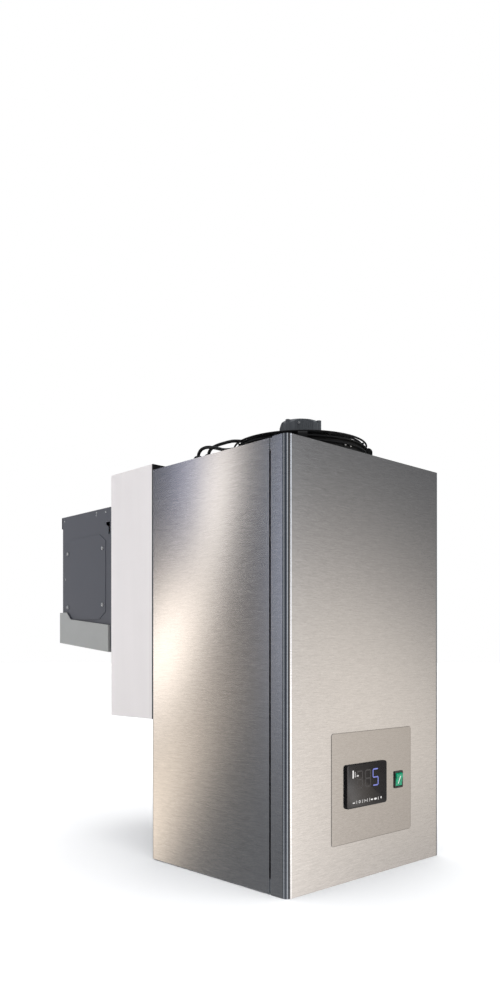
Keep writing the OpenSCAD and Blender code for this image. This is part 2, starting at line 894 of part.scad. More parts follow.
module terminal_block() {
    step = terminal_w / terminal_count;
    z = box_z0 + box_h / 2;
    color("ivory")
    difference() {
        block([-terminal_w / 2, post_y1 - terminal_d, z - terminal_h / 2],
            [terminal_w / 2, post_y1, z + terminal_h / 2]);
        for (i = [0 : terminal_count - 1])
            translate([(i - (terminal_count - 1) / 2) * step, post_y1 - terminal_d, z])
                cube([terminal_slot, 2 * terminal_slot_d, terminal_h + 2 * over], center = true);
    }
}

// Compressor

module shell_form(r, h, dome) {
    cylinder(h = h - dome, r = r);
    translate([0, 0, h - dome]) intersection() {
        cylinder(h = dome, r = r);
        translate([0, 0, dome - (r * r + dome * dome) / (2 * dome)])
            sphere(r = (r * r + dome * dome) / (2 * dome), $fn = 96);
    }
}

module compressor_shell() {
    color("black")
    translate([comp_x, comp_y, comp_plate_z]) difference() {
        union() {
            translate([0, 0, comp_plate_t]) shell_form(shell_r, shell_h, comp_dome);
            translate([0, 0, comp_plate_t + shell_h / 2])
                cylinder(h = comp_seam_t, r = shell_r + comp_seam_w);
            linear_extrude(comp_plate_t) round_rect(comp_plate_w, comp_plate_d, comp_plate_r);
        }
        translate([0, 0, comp_plate_t + comp_wall])
            shell_form(shell_r - comp_wall, shell_h - 2 * comp_wall, comp_dome - comp_wall);
        for (sx = [-1, 1], sy = [-1, 1])
            translate([sx * comp_bolt_dx / 2, sy * comp_bolt_dy / 2, -over])
                cylinder(h = comp_plate_t + 2 * over, r = grommet_neck_r + fit);
        translate([discharge_port_x, 0, shell_h - comp_dome])
            cylinder(h = comp_dome + 2 * over, r = discharge_r + shaft_gap);
        bar([-shell_r - over, 0, suction_port_z - comp_plate_z], [1, 0, 0],
            2 * comp_wall, tube_r + shaft_gap);
    }
}

module compressor_grommets() {
    color("dimgray")
    for (sx = [-1, 1], sy = [-1, 1])
        translate([comp_x + sx * comp_bolt_dx / 2, comp_y + sy * comp_bolt_dy / 2, base_t])
            difference() {
                union() {
                    cylinder(h = grommet_h, r = grommet_r);
                    cylinder(h = grommet_h + comp_plate_t, r = grommet_neck_r);
                    translate([0, 0, grommet_h + comp_plate_t])
                        cylinder(h = grommet_lip, r = grommet_r - fit);
                }
                translate([0, 0, -over])
                    cylinder(h = grommet_h + comp_plate_t + grommet_lip + 2 * over,
                        r = bolt_r + shaft_gap);
            }
}

module compressor_bolts() {
    top = grommet_h + comp_plate_t + grommet_lip;
    color("silver")
    for (sx = [-1, 1], sy = [-1, 1])
        translate([comp_x + sx * comp_bolt_dx / 2, comp_y + sy * comp_bolt_dy / 2, base_t]) {
            translate([0, 0, -base_t]) cylinder(h = top + base_t, r = bolt_r);
            translate([0, 0, top]) cylinder(h = bolt_head_t, r = bolt_head_r, $fn = 6);
        }
}

module compressor_terminal_cover() {
    color("dimgray")
    difference() {
        translate([comp_x, comp_y - shell_r - cover_box_d / 2, comp_z0 + shell_h / 4])
            rotate([90, 0, 0]) translate([0, 0, -cover_box_d])
                linear_extrude(cover_box_d + cover_box_d / 2)
                    round_rect(cover_box_w, cover_box_h, cover_box_r);
        translate([comp_x, comp_y, comp_z0 - over])
            cylinder(h = shell_h / 2 + over, r = shell_r + fit);
        translate([comp_x, comp_y, comp_z0 + shell_h / 2 - comp_plate_t - over])
            cylinder(h = comp_seam_t + comp_plate_t + 2 * over, r = shell_r + comp_seam_w + fit);
    }
}

// Condenser coil

module condenser_fins() {
    color("silver")
    fin_block(cond_places, cond_y - cond_d / 2, cond_z0, cond_d, cond_h, cond_x - end_plate_gap);
}

module condenser_tubes() {
    color("chocolate")
    serpentine(cond_places, cond_x + end_plate_t, stub_l - end_plate_t, tube_r, tube_wall, 1);
}

module condenser_end_plates() {
    color("gainsboro")
    for (x = [-cond_x - end_plate_t, cond_x])
        translate([x, 0, 0]) side_plate(cond_places, cond_y - cond_d / 2, cond_z0,
            cond_d, panel_z1 - sheet_t - cond_z0, end_plate_t);
}

// Condenser fan

module fan_ring() {
    z0 = ring_z - ring_drop;
    z1 = ring_z + ring_rise;
    color("black")
    translate([fan_x, fan_y, 0]) rotate_extrude() {
        translate([ring_r, z0]) square([ring_t, z1 - z0]);
        translate([ring_r, ring_z]) square([ring_t + ring_flange_w, ring_flange_t]);
        translate([ring_r + ring_bead_r, z1]) circle(r = ring_bead_r);
    }
}

// One wire ring of a guard, its middle at radius r.
module wire_ring(r, wire) {
    rotate_extrude($fn = 96) translate([r, 0]) circle(r = wire, $fn = 24);
}

// Flat guard of rings on spokes round a middle plate, from z = 0 up.
module guard_face(r, inner, pitch, wire, spokes, plate_r, plate_t, bore) {
    for (i = [0 : floor((r - inner) / pitch)])
        translate([0, 0, 3 * wire + weld_gap]) wire_ring(r - i * pitch, wire);
    for (i = [0 : spokes - 1]) rotate([0, 0, (i + 1 / 2) * 360 / spokes])
        translate([plate_r / 2, 0, wire]) rotate([0, 90, 0]) cylinder(h = r - plate_r / 2, r = wire);
    translate([0, 0, 2 * wire + weld_gap]) difference() {
        cylinder(h = plate_t, r = plate_r);
        translate([0, 0, -over]) cylinder(h = plate_t + 2 * over, r = bore);
    }
}

module fan_guard() {
    color("black")
    translate([fan_x, fan_y, guard_spoke_z - guard_wire_r])
        guard_face(guard_r, guard_inner_r, guard_pitch, guard_wire_r, guard_spokes,
            motor_plate_r, motor_plate_t, 2 * shaft_r);
}

module guard_side_rings() {
    color("black")
    translate([fan_x, fan_y, 0]) for (i = [1 : side_ring_count])
        translate([0, 0, guard_ring_z - i * guard_pitch]) wire_ring(guard_r, guard_wire_r);
}

// Side view of a leg: a strap from the guard's edge, over a round shoulder, down to its foot.
module leg_outline(r0, r1, z0, z1, shoulder) {
    translate([r0, z0]) square([r1 - r0 - shoulder, z1 - z0]);
    translate([r0, z0]) square([r1 - r0, z1 - z0 - shoulder]);
    intersection() {
        translate([r1 - shoulder, z1 - shoulder]) circle(r = shoulder);
        translate([r0, z0]) square([r1 - r0, z1 - z0]);
    }
}

module guard_legs() {
    z0 = ring_z;
    z1 = guard_ring_z - guard_wire_r - fit;
    edge = guard_r + guard_wire_r + fit;
    color("black")
    translate([fan_x, fan_y, 0]) for (i = [0 : 3]) rotate([0, 0, 45 + 90 * i]) difference() {
        rotate([90, 0, 0]) translate([0, 0, -leg_w / 2]) linear_extrude(leg_w) {
            leg_outline(edge, leg_out_r, z0, z1, leg_shoulder);
            translate([edge, z0]) square([leg_foot + leg_out_r - edge, leg_t]);
            translate([edge - leg_tab, z1 - leg_t]) square([leg_tab + leg_t, leg_t]);
        }
        rotate([90, 0, 0]) translate([0, 0, -leg_w / 2 + leg_t]) linear_extrude(leg_w - 2 * leg_t)
            leg_outline(edge - over, leg_out_r - leg_t, z0 - over, z1 - leg_t, leg_shoulder - leg_t);
        translate([foot_screw_at, 0, z0 - over])
            cylinder(h = leg_t + 2 * over, r = foot_screw_r + shaft_gap);
    }
}

module guard_screws() {
    z0 = ring_z + leg_t;
    color("silver")
    translate([fan_x, fan_y, 0]) for (i = [0 : 3]) rotate([0, 0, 45 + 90 * i])
        translate([foot_screw_at, 0, z0]) {
            cylinder(h = screw_head_t, r = screw_head_r);
            translate([0, 0, -leg_t]) cylinder(h = leg_t, r = foot_screw_r);
        }
}

// Plan of a fan motor: a rounded square whose four faces carry upright ribs.
module motor_plan(w, r) {
    difference() {
        round_rect(w, w, r);
        for (q = [0 : 3]) rotate(90 * q) for (i = [0 : motor_ribs - 1])
            translate([(i - (motor_ribs - 1) / 2) * motor_rib_pitch, w / 2])
                square([motor_rib_w, 2 * motor_rib_d], center = true);
    }
}

module fan_motor() {
    color("dimgray")
    translate([fan_x, fan_y, motor_z0]) rotate([0, 0, motor_turn]) difference() {
        union() {
            rotate([0, 0, 45]) intersection() {
                linear_extrude(motor_h) motor_plan(motor_w, motor_r);
                union() {
                    cylinder(h = motor_h - motor_shoulder_h, r = motor_w);
                    translate([0, 0, motor_h - motor_shoulder_h])
                        cylinder(h = motor_shoulder_h, r1 = motor_shoulder_r, r2 = motor_crown_r);
                }
            }
            for (q = [0 : 3]) rotate([0, 0, 90 * q]) translate([motor_boss_pcd / 2, 0, 0])
                cylinder(h = motor_h - motor_boss_drop, r = motor_boss_r);
        }
        translate([0, 0, -over]) cylinder(h = shaft_in + over, r = shaft_r + shaft_gap);
        rotate([0, 0, motor_lead_at - motor_turn]) translate([motor_w / 4, 0, motor_lead_z - motor_z0])
            rotate([0, 90, 0]) cylinder(h = motor_w, r = lead_r + lead_gap);
    }
}

module fan_shaft() {
    color("silver")
    translate([fan_x, fan_y, hub_z0]) cylinder(h = motor_z0 + shaft_in - fit - hub_z0, r = shaft_r);
}

// Hub and cambered blades about the Z axis, from z = 0 up.
module impeller(hub, h, tip, count, pitch, camber, plan, plan_at, bore) {
    difference() {
        union() {
            cylinder(h = h, r = hub);
            for (i = [0 : count - 1]) rotate([0, 0, i * 360 / count]) intersection() {
                translate([0, 0, h / 2]) rotate([pitch, 0, 0]) translate([hub / 2, 0, -camber])
                    rotate([0, 90, 0]) difference() {
                        cylinder(h = tip, r = camber + blade_t / 2);
                        translate([0, 0, -over]) cylinder(h = tip + 2 * over, r = camber - blade_t / 2);
                    }
                translate([0, 0, -h]) linear_extrude(3 * h) intersection() {
                    circle(r = tip);
                    translate([plan_at, 0]) union() {
                        circle(r = plan);
                        translate([-plan_at, -plan / 2]) square([plan_at, plan]);
                    }
                }
            }
        }
        translate([0, 0, -over]) cylinder(h = h + 2 * over, r = bore);
        translate([0, 0, -over]) difference() {
            cylinder(h = h - hub_wall + over, r = hub - hub_wall);
            cylinder(h = h, r = bore + hub_wall);
        }
    }
}

module fan_blades() {
    color("black")
    translate([fan_x, fan_y, hub_z0]) impeller(hub_r, hub_h, blade_r, blade_count, blade_pitch,
        blade_camber_r, blade_plan_r, blade_plan_at, shaft_r);
}

// Refrigerant circuit

module filter_drier() {
    color("peru")
    translate([drier_x, drier_y, drier_z1 - drier_h]) {
        cylinder(h = drier_h, r = drier_r);
        translate([0, 0, -drier_neck_h]) cylinder(h = drier_h + 2 * drier_neck_h, r = drier_neck_r);
    }
}

module capillary_tube() {
    color("chocolate") pipe_run(capillary_route, cap_bend, cap_r);
}

module discharge_pipe() {
    color("chocolate") pipe_run(discharge_route, pipe_bend, discharge_r);
}

module liquid_pipe() {
    color("chocolate") pipe_run(liquid_route, pipe_bend, discharge_r);
}

module suction_pipe() {
    color("chocolate") pipe_run(suction_route, suction_bend, tube_r);
}

// Glands and leads

module cable_glands() {
    color("black")
    for (p = gland_places) translate([p.x, front_y + p.y, panel_z1]) difference() {
        union() {
            cylinder(h = gland_base_h, r = gland_af_r, $fn = 6);
            cylinder(h = gland_h, r = gland_r);
            translate([0, 0, -sheet_t]) cylinder(h = sheet_t, r = gland_neck_r);
        }
        translate([0, 0, -sheet_t - over])
            cylinder(h = gland_h + sheet_t + 2 * over, r = lead_r + lead_gap);
    }
}

module lead_grommet() {
    color("black")
    translate([grommet_place.x, front_y + grommet_place.y, panel_z1]) difference() {
        union() {
            cylinder(h = lead_grommet_h, r = lead_grommet_r);
            translate([0, 0, -sheet_t]) cylinder(h = sheet_t, r = lead_grommet_neck_r);
        }
        translate([0, 0, -sheet_t - over])
            cylinder(h = lead_grommet_h + sheet_t + 2 * over, r = lead_r + lead_gap);
    }
}

module link_lead() {
    color("black") translate([0, front_y, 0]) swept(link_route, lead_r, lead_sides, lead_steps);
}

module fan_lead() {
    color("black") translate([0, front_y, 0]) swept(fan_route, lead_r, lead_sides, lead_steps);
}

// Wall plug

module plug_skin() {
    color("white")
    difference() {
        block([-half_w, plug_y0, plug_z], [half_w, plug_y1, plug_z + plug_h]);
        block([-half_w + skin_t, plug_y0 - over, plug_z + skin_t],
            [half_w - skin_t, plug_y1 - skin_t, plug_z + plug_h - skin_t]);
        bar([service_x, plug_y0, service_z], [0, 1, 0], plug_d + over, service_r);
    }
}

module plug_core() {
    color("khaki")
    difference() {
        block([-half_w + skin_t, plug_y0, plug_z + skin_t],
            [half_w - skin_t, plug_y1 - skin_t, plug_z + plug_h - skin_t]);
        bar([service_x, plug_y0 - over, service_z], [0, 1, 0], plug_d + over, service_r);
    }
}

module plug_gasket() {
    color("black")
    difference() {
        block([-half_w, back_y, plug_z], [half_w, plug_y0, plug_z + plug_h]);
        block([-half_w + gasket_w, back_y - over, plug_z + gasket_w],
            [half_w - gasket_w, plug_y0 + over, plug_z + plug_h - gasket_w]);
    }
}

// Evaporator casing

module evaporator_back_plate() {
    x = hood_x - hood_t - fit;
    color("slategray")
    difference() {
        union() {
            block([-x, plug_y1, hood_leg_z], [x, plug_y1 + hood_t, hood_top - hood_t - fit]);
            for (s = [0, 1]) mirror([s, 0, 0])
                block([x - hood_t, plug_y1, hood_leg_z],
                    [x, plug_y1 + back_flange, hood_top - hood_t - hood_flange]);
        }
        bar([service_x, plug_y1 - over, service_z], [0, 1, 0], hood_t + 2 * over, service_r);
    }
}

module evaporator_top() {
    x = hood_x - hood_t - fit;
    color("dimgray")
    difference() {
        union() {
            block([-hood_x, plug_y1, hood_top - hood_t], [hood_x, end_y, hood_top]);
            block([-hood_x, end_y - hood_t, hood_top - hood_lip_h], [hood_x, end_y, hood_top]);
            for (s = [0, 1]) mirror([s, 0, 0])
                block([x - hood_t, plug_y1 + back_flange, hood_top - hood_flange],
                    [x, hood_y1 - hood_t - fit, hood_top]);
        }
        for (i = [0 : slot_count - 1])
            translate([0, plug_y1 + slot_y + slot_h / 2 + i * slot_pitch, hood_top - hood_t - over])
                linear_extrude(hood_t + 2 * over) slot(slot_w, slot_h);
    }
}

// Octagon of an access cover, in the plane of a side.
module access_outline(w, h, cut_x, cut_z) {
    polygon([
        [-w / 2 + cut_x, -h / 2], [w / 2 - cut_x, -h / 2], [w / 2, -h / 2 + cut_z],
        [w / 2, h / 2 - cut_z], [w / 2 - cut_x, h / 2], [-w / 2 + cut_x, h / 2],
        [-w / 2, h / 2 - cut_z], [-w / 2, -h / 2 + cut_z]
    ]);
}

// Side of the casing, drawn for the right-hand side.
module hood_side() {
    color("dimgray") {
        difference() {
            translate([hood_x - hood_t, 0, 0]) rotate([90, 0, 90]) linear_extrude(hood_t) difference() {
                polygon([
                    [plug_y1, hood_leg_z], [plug_y1 + tray_y0 - fit, hood_leg_z],
                    [plug_y1 + tray_y0 - fit, hood_skirt_z], [hood_y1, hood_skirt_z],
                    [hood_y1, hood_top - hood_t], [plug_y1, hood_top - hood_t]
                ]);
                translate([plug_y1 + tray_y0 - fit, hood_skirt_z - over])
                    square([tray_t + 2 * fit, tray_z0 + tray_side_h + fit + over - hood_skirt_z]);
                polygon([
                    [plug_y1 + notch_y0, notch_z0], [plug_y1 + notch_y0, notch_z1],
                    [plug_y1 + notch_y1, notch_z1], [plug_y1 + notch_y1, notch_z1 - notch_step],
                    [plug_y1 + notch_y0 + notch_step, notch_z1 - 2 * notch_step],
                    [plug_y1 + notch_y0 + notch_step, notch_z0]
                ]);
                translate([plug_y1 + access_x, access_z])
                    access_outline(access_w - 2 * access_lap, access_h - 2 * access_lap,
                        access_cut_x, access_cut_z);
            }
            for (sy = [-1, 1], sz = [-1, 1])
                bar([hood_x - hood_t - over, plug_y1 + access_x + sy * access_screw_dx / 2,
                    access_z + sz * access_screw_dz / 2], [1, 0, 0],
                    hood_t + 2 * over, back_screw_r + shaft_gap);
        }
        for (p = peg_places) bar([hood_x - hood_t, plug_y1 + p[0], p[1]], [1, 0, 0],
            tray_x - tray_t - fit - hood_x + hood_t, peg_r);
    }
}

module evaporator_left_side() {
    mirror([1, 0, 0]) hood_side();
}

module evaporator_right_side() {
    hood_side();
}

module evaporator_fan_plate() {
    x = hood_x - hood_t - fit;
    throat = cold_blade_r + cold_ring_gap;
    color("dimgray")
    difference() {
        union() {
            block([-x, hood_y1 - hood_t, hood_skirt_z], [x, hood_y1, hood_top - hood_t - fit]);
            bar([0, hood_y1 - cold_ring_d, cold_fan_z], [0, 1, 0], cold_ring_d, throat + cold_ring_t);
        }
        bar([0, hood_y1 - cold_ring_d - over, cold_fan_z], [0, 1, 0], cold_ring_d + 2 * over, throat);
    }
}

module access_cover() {
    color("dimgray")
    difference() {
        translate([hood_x, plug_y1 + access_x, access_z]) rotate([90, 0, 90])
            linear_extrude(access_t) access_outline(access_w, access_h, access_cut_x, access_cut_z);
        for (sy = [-1, 1], sz = [-1, 1])
            bar([hood_x - over, plug_y1 + access_x + sy * access_screw_dx / 2,
                access_z + sz * access_screw_dz / 2], [1, 0, 0],
                access_t + 2 * over, back_screw_r + shaft_gap);
    }
}

module left_access_cover() {
    mirror([1, 0, 0]) access_cover();
}

module right_access_cover() {
    access_cover();
}

module access_cover_screws() {
    color("silver")
    for (side = [0, 1]) mirror([side, 0, 0]) for (sy = [-1, 1], sz = [-1, 1])
        translate([hood_x + access_t, plug_y1 + access_x + sy * access_screw_dx / 2,
            access_z + sz * access_screw_dz / 2]) {
            bar([0, 0, 0], [1, 0, 0], screw_head_t, screw_head_r);
            bar([-access_t - hood_t, 0, 0], [1, 0, 0], access_t + hood_t, back_screw_r);
        }
}

// Evaporator coil

module evaporator_fins() {
    color("silver")
    fin_block(cold_places, plug_y1 + cold_y0, cold_z0, cold_d, cold_h, cold_x - end_plate_gap);
}

module evaporator_tubes() {
    color("chocolate")
    serpentine(cold_places, cold_x + end_plate_t, stub_l - end_plate_t, tube_r, tube_wall, -1);
}

module evaporator_end_plates() {
    color("gainsboro")
    for (x = [-cold_x - end_plate_t, cold_x])
        translate([x, 0, 0]) side_plate(cold_places, plug_y1 + cold_y0, cold_z0,
            cold_d, hood_top - hood_t - cold_z0, end_plate_t);
}

// Evaporator fan

module evaporator_fan_motor() {
    arm_y = hood_y1 - cold_blade_in - cold_hub_h - bracket_gap - bracket_t;
    color("dimgray")
    difference() {
        union() {
            translate([0, arm_y, cold_fan_z]) rotate([90, 0, 0]) linear_extrude(cold_motor_h)
                motor_plan(cold_motor_w, cold_motor_r);
            for (s = [-1, 1]) {
                z = cold_fan_z + s * bracket_dz;
                block([-bracket_x, arm_y, z - bracket_w / 2],
                    [bracket_x, arm_y + bracket_t, z + bracket_w / 2]);
                for (sx = [-1, 1]) block(
                    [sx * bracket_x - bracket_t / 2, arm_y, z - bracket_w / 2],
                    [sx * bracket_x + bracket_t / 2, hood_y1 - hood_t, z + bracket_w / 2]);
            }
        }
        bar([0, arm_y - shaft_in, cold_fan_z], [0, 1, 0], shaft_in + over, cold_shaft_r + shaft_gap);
    }
}

module evaporator_fan_blades() {
    y0 = hood_y1 - cold_blade_in - cold_hub_h;
    shaft_l = cold_hub_h + bracket_gap + bracket_t + shaft_in - fit;
    color("black") {
        translate([0, y0, cold_fan_z]) rotate([-90, 0, 0]) impeller(cold_hub_r, cold_hub_h, cold_blade_r,
            cold_blade_count, cold_blade_pitch, cold_blade_camber_r, cold_blade_plan_r,
            cold_blade_plan_at, cold_shaft_r);
        bar([0, y0 + cold_hub_h - shaft_l, cold_fan_z], [0, 1, 0], shaft_l, cold_shaft_r);
    }
}

module evaporator_fan_guard() {
    color("black")
    translate([0, hood_y1, cold_fan_z]) rotate([-90, 0, 0])
        guard_face(cold_guard_r, cold_guard_inner_r, cold_guard_pitch, cold_wire_r, cold_spokes,
            cold_plate_r, cold_plate_t, cold_shaft_r);
}

// Drip tray

module tray_side(y0, y1, lift, above) {
    slope = tray_rise / (end_y - plug_y1 - tray_y0);
    a = tray_z0 + lift;
    b = tray_z0 + tray_rise + lift;
    tip = above > 0 ? b + tray_side_h + above : b + tray_tip_h;
    edge = tray_z0 + tray_side_h + above;
    polygon([
        [y0, a + slope * (y0 - plug_y1 - tray_y0)], [y1, b + slope * (y1 - end_y)], [y1, tip],
        [end_y - tray_tip_l, tip],
        [end_y - tray_tip_l - tray_ramp_l, edge + slope * (end_y - tray_tip_l - tray_ramp_l - y0)],
        [y0, edge]
    ]);
}

module drip_tray() {
    y0 = plug_y1 + tray_y0;
    color("lightgray")
    difference() {
        rotate([90, 0, 90]) translate([0, 0, -tray_x]) linear_extrude(tray_w)
            tray_side(y0, end_y, 0, 0);
        rotate([90, 0, 90]) translate([0, 0, -tray_x + tray_t]) linear_extrude(tray_w - 2 * tray_t)
            tray_side(y0 + tray_t, end_y - tray_t, tray_t, tray_tip_h);
        translate([0, y0 + spout_at, tray_z0 - spout_l])
            cylinder(h = spout_l + tray_tip_h, r = spout_r + shaft_gap);
    }
}

module drain_spout() {
    slope = tray_rise / (end_y - plug_y1 - tray_y0);
    top = tray_z0 + slope * (spout_at + spout_collar_r) + tray_t;
    seat = tray_z0 + slope * (spout_at - spout_collar_r) - shaft_gap;
    color("ivory")
    translate([0, plug_y1 + tray_y0 + spout_at, 0]) difference() {
        union() {
            translate([0, 0, tray_z0 - spout_l]) cylinder(h = top - tray_z0 + spout_l, r = spout_r);
            translate([0, 0, seat - spout_collar_t]) cylinder(h = spout_collar_t, r = spout_collar_r);
        }
        translate([0, 0, tray_z0 - spout_l - over])
            cylinder(h = top - tray_z0 + spout_l + 2 * over, r = spout_r - spout_wall);
    }
}

base_tray();
left_post();
right_post();
left_side_panel();
right_side_panel();
front_cover();
top_panel();
back_panel();
back_screws();
control_label();
controller_housing();
controller_lens();
switch_body();
switch_rocker();
electrical_box();
electrical_box_lid();
terminal_block();
compressor_shell();
compressor_grommets();
compressor_bolts();
compressor_terminal_cover();
condenser_fins();
condenser_tubes();
condenser_end_plates();
fan_ring();
fan_guard();
guard_side_rings();
guard_legs();
guard_screws();
fan_motor();
fan_shaft();
fan_blades();
filter_drier();
capillary_tube();
discharge_pipe();
liquid_pipe();
suction_pipe();
cable_glands();
lead_grommet();
fan_lead();
link_lead();
plug_skin();
plug_core();
plug_gasket();
evaporator_back_plate();
evaporator_top();
evaporator_left_side();
evaporator_right_side();
evaporator_fan_plate();
left_access_cover();
right_access_cover();
access_cover_screws();
evaporator_fins();
evaporator_tubes();
evaporator_end_plates();
evaporator_fan_motor();
evaporator_fan_blades();
evaporator_fan_guard();
drip_tray();
drain_spout();
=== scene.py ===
"""Looks of the monoblock refrigeration unit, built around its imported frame."""

import json
import math

import bmesh
import bpy
from mathutils import Matrix, Vector


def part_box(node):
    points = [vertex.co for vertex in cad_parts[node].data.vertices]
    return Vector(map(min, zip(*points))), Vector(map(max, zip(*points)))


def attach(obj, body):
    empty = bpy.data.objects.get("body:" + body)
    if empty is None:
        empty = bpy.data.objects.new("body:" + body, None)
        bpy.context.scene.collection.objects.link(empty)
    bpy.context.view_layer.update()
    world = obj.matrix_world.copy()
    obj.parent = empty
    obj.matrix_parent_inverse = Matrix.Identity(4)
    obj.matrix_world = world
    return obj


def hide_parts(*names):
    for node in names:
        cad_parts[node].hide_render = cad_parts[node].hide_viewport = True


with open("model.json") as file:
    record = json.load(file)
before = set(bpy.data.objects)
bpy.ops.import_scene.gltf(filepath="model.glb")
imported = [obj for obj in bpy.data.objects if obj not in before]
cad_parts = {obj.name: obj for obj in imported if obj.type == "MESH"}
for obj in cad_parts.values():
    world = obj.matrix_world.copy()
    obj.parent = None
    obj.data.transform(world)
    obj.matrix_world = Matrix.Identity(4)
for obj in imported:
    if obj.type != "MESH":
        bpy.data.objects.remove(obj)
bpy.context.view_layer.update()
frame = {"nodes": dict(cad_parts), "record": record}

bl_info = {
    "name": "Monoblock refrigeration unit",
    "version": (1, 0, 0),
    "blender": (4, 5, 0),
    "location": "3D View > Sidebar > Monoblock",
    "description": "Finishes, small parts and studio of a wall-mounted refrigeration unit",
    "category": "Object",
}

MM = 0.001

# Plane of the front cover, top face of the top panel, whose sheet the glands pass through, and a
# point of the condenser fan's upright axis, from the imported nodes
TOP_SHEET = 1.2 * MM
FRONT_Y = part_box("front_cover")[0].y
TOP_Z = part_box("cable_glands")[0].z + TOP_SHEET
FAN_AXIS = Vector((0, (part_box("fan_ring")[0].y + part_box("fan_ring")[1].y) / 2, 0))

# Camera that matches the photograph: its place in metres, its turn in radians, its sensor's width
# in millimetres, and its focal length and shift in shares of that width
CAMERA_PLACE = (-1.1358, -1.24765, 0.388)
CAMERA_TURN = (math.pi / 2, 0, -0.758)
SENSOR = 36
FOCAL_SHARE = 0.8106
HORIZON_SHIFT = 0.1547

# Bright and dark patches of the studio that the steel mirrors, set so that the panels come near
# their brightness in the photograph. Azimuth runs from +Y towards -X, in degrees, with elevation
# above the horizon; lean is how far a patch shifts sideways per degree of height. Each line is:
# azimuth, elevation, half width, half height, lean, colour, strength.
STUDIO_PATCHES = [
    (37.4, 0.5, 2.1, 5.5, 0.28, "#FFF0E0", 3.2),
    (41.2, 12.0, 0.9, 6.5, 0.12, "#FFF4E8", 3.5),
    (39.2, 13.5, 0.9, 6.0, 0.12, "#C2CEFF", 0.9),
    (33.4, -15.9, 2.9, 10.8, 0.48, "#FFEBD4", 2.4),
    (27.5, 6.0, 4.0, 14.0, 0.0, "#F4F6FF", 2.4),
    (42.7, -11.1, 7.7, 13.9, 0.6, "#FFFCF4", 0.1),
    (46.9, 9.0, 1.4, 14.0, 0.04, "#DEE6FF", 1.0),
    (78, 0, 7, 60, 0.0, "#DDE4EC", 0.9),
    (112, 0, 12, 60, 0.0, "#1E3350", 0.45),
    (145, 0, 9, 60, 0.0, "#E4E8EE", 1.1),
    (216, 6, 5, 30, 0.0, "#F0F6FF", 2.8),
    (228, 11, 14, 12, 0.0, "#FFFFFF", 0.11),
    (232, -3, 10, 11.5, -0.54, "#FFF2E3", 1.0),
    (212, -9, 15, 12.5, -0.78, "#FFF3E6", 2.3),
    (180, 75, 400, 20, 0.0, "#FFFFFF", 0.8),
    (180, -36, 400, 12, 0.0, "#F4F4F6", 0.9),
    (305, 0, 34, 50, 0.0, "#EEF1F6", 0.7),
    (6, 0, 10, 50, 0.0, "#EEF1F6", 0.7),
]
STUDIO_AMBIENT = "#4B4D51"

# Lights of the studio: name, kind, place, aim, the setting with its strength, and its size, which
# is an angle in radians for the sun and a side in metres for the others
STUDIO_LIGHTS = (
    ("overhead_light", "SUN", (0, 0, 3), (0, 0, 0), "overhead", math.radians(85)),
    ("key_light", "AREA", (-2.4, 0.3, 1.3), (0, 0.1, 0.5), "key_power", 1.6),
    ("front_light", "AREA", (-0.6, -2.6, 1.2), (0, 0, 0.5), "fill_power", 1.6),
)
FLOOR_DROP = 0.2 * MM  # keeps the floor clear of the tray's underside

# Routes of the two leads in millimetres: across from the middle, back from the front cover's
# plane, and up from the floor
LINK_ROUTE = [
    (-167.5, 272, 742), (-167.5, 272, 757.5), (-167.5, 272, 760), (-167.5, 266, 767),
    (-167.5, 258, 769.5), (-167.5, 247, 769.5), (-167.5, 231, 766), (-167, 216, 761.5),
    (-166.5, 204, 757.5), (-165.5, 190, 755), (-164.5, 176, 754), (-163.5, 164, 753),
    (-162.5, 155, 750), (-162.5, 152, 745), (-162.5, 152, 742.5), (-162.5, 152, 738.5),
]
FAN_ROUTE = [
    (-162.5, 248, 742), (-162.5, 248, 757.5), (-162.5, 248, 760), (-160, 243, 768),
    (-155, 237, 772.5), (-148, 233, 776), (-138, 231, 780), (-126, 232, 784.5),
    (-115, 234, 788), (-104, 231, 789.5), (-90, 222, 789.5), (-74, 212, 790),
    (-58, 203, 793), (-46, 196.5, 797.5), (-38, 191.94, 800), (-30, 187.32, 800),
]


def linear(hex_colour):
    """Turns an sRGB hex colour to linear red, green and blue."""
    shares = [int(hex_colour[i:i + 2], 16) / 255 for i in (1, 3, 5)]
    return tuple(c / 12.92 if c <= 0.04045 else ((c + 0.055) / 1.055) ** 2.4 for c in shares)


def colour_property(name, description, hex_colour):
    return bpy.props.FloatVectorProperty(
        name=name, description=description, default=linear(hex_colour),
        subtype="COLOR", size=3, min=0, max=1)


def length_property(name, description, millimetres):
    return bpy.props.FloatProperty(
        name=name, description=description, default=millimetres * MM,
        min=0.05 * MM, max=1, subtype="DISTANCE", unit="LENGTH", precision=5)


def number_property(name, description, value, low, high):
    return bpy.props.FloatProperty(
        name=name, description=description, default=value, min=low, max=high)


# Materials

def add_node(tree, kind, sockets=(), **settings):
    """Adds a shader node, sets its settings, and fills each socket with a link or a value."""
    made = tree.nodes.new("ShaderNode" + kind)
    for name, value in settings.items():
        setattr(made, name, value)
    for key, value in dict(sockets).items():
        if isinstance(value, bpy.types.NodeSocket):
            tree.links.new(value, made.inputs[key])
        else:
            made.inputs[key].default_value = value
    return made


def new_material(name, **constants):
    """A material whose Principled shader has these constants on its own sockets."""
    material = bpy.data.materials.new(name)
    material.use_nodes = True
    tree = material.node_tree
    tree.nodes.clear()
    shader = add_node(tree, "BsdfPrincipled")
    for key, value in constants.items():
        shader.inputs[key.replace("_", " ")].default_value = value
    add_node(tree, "OutputMaterial", {"Surface": shader.outputs[0]})
    return material, tree, shader


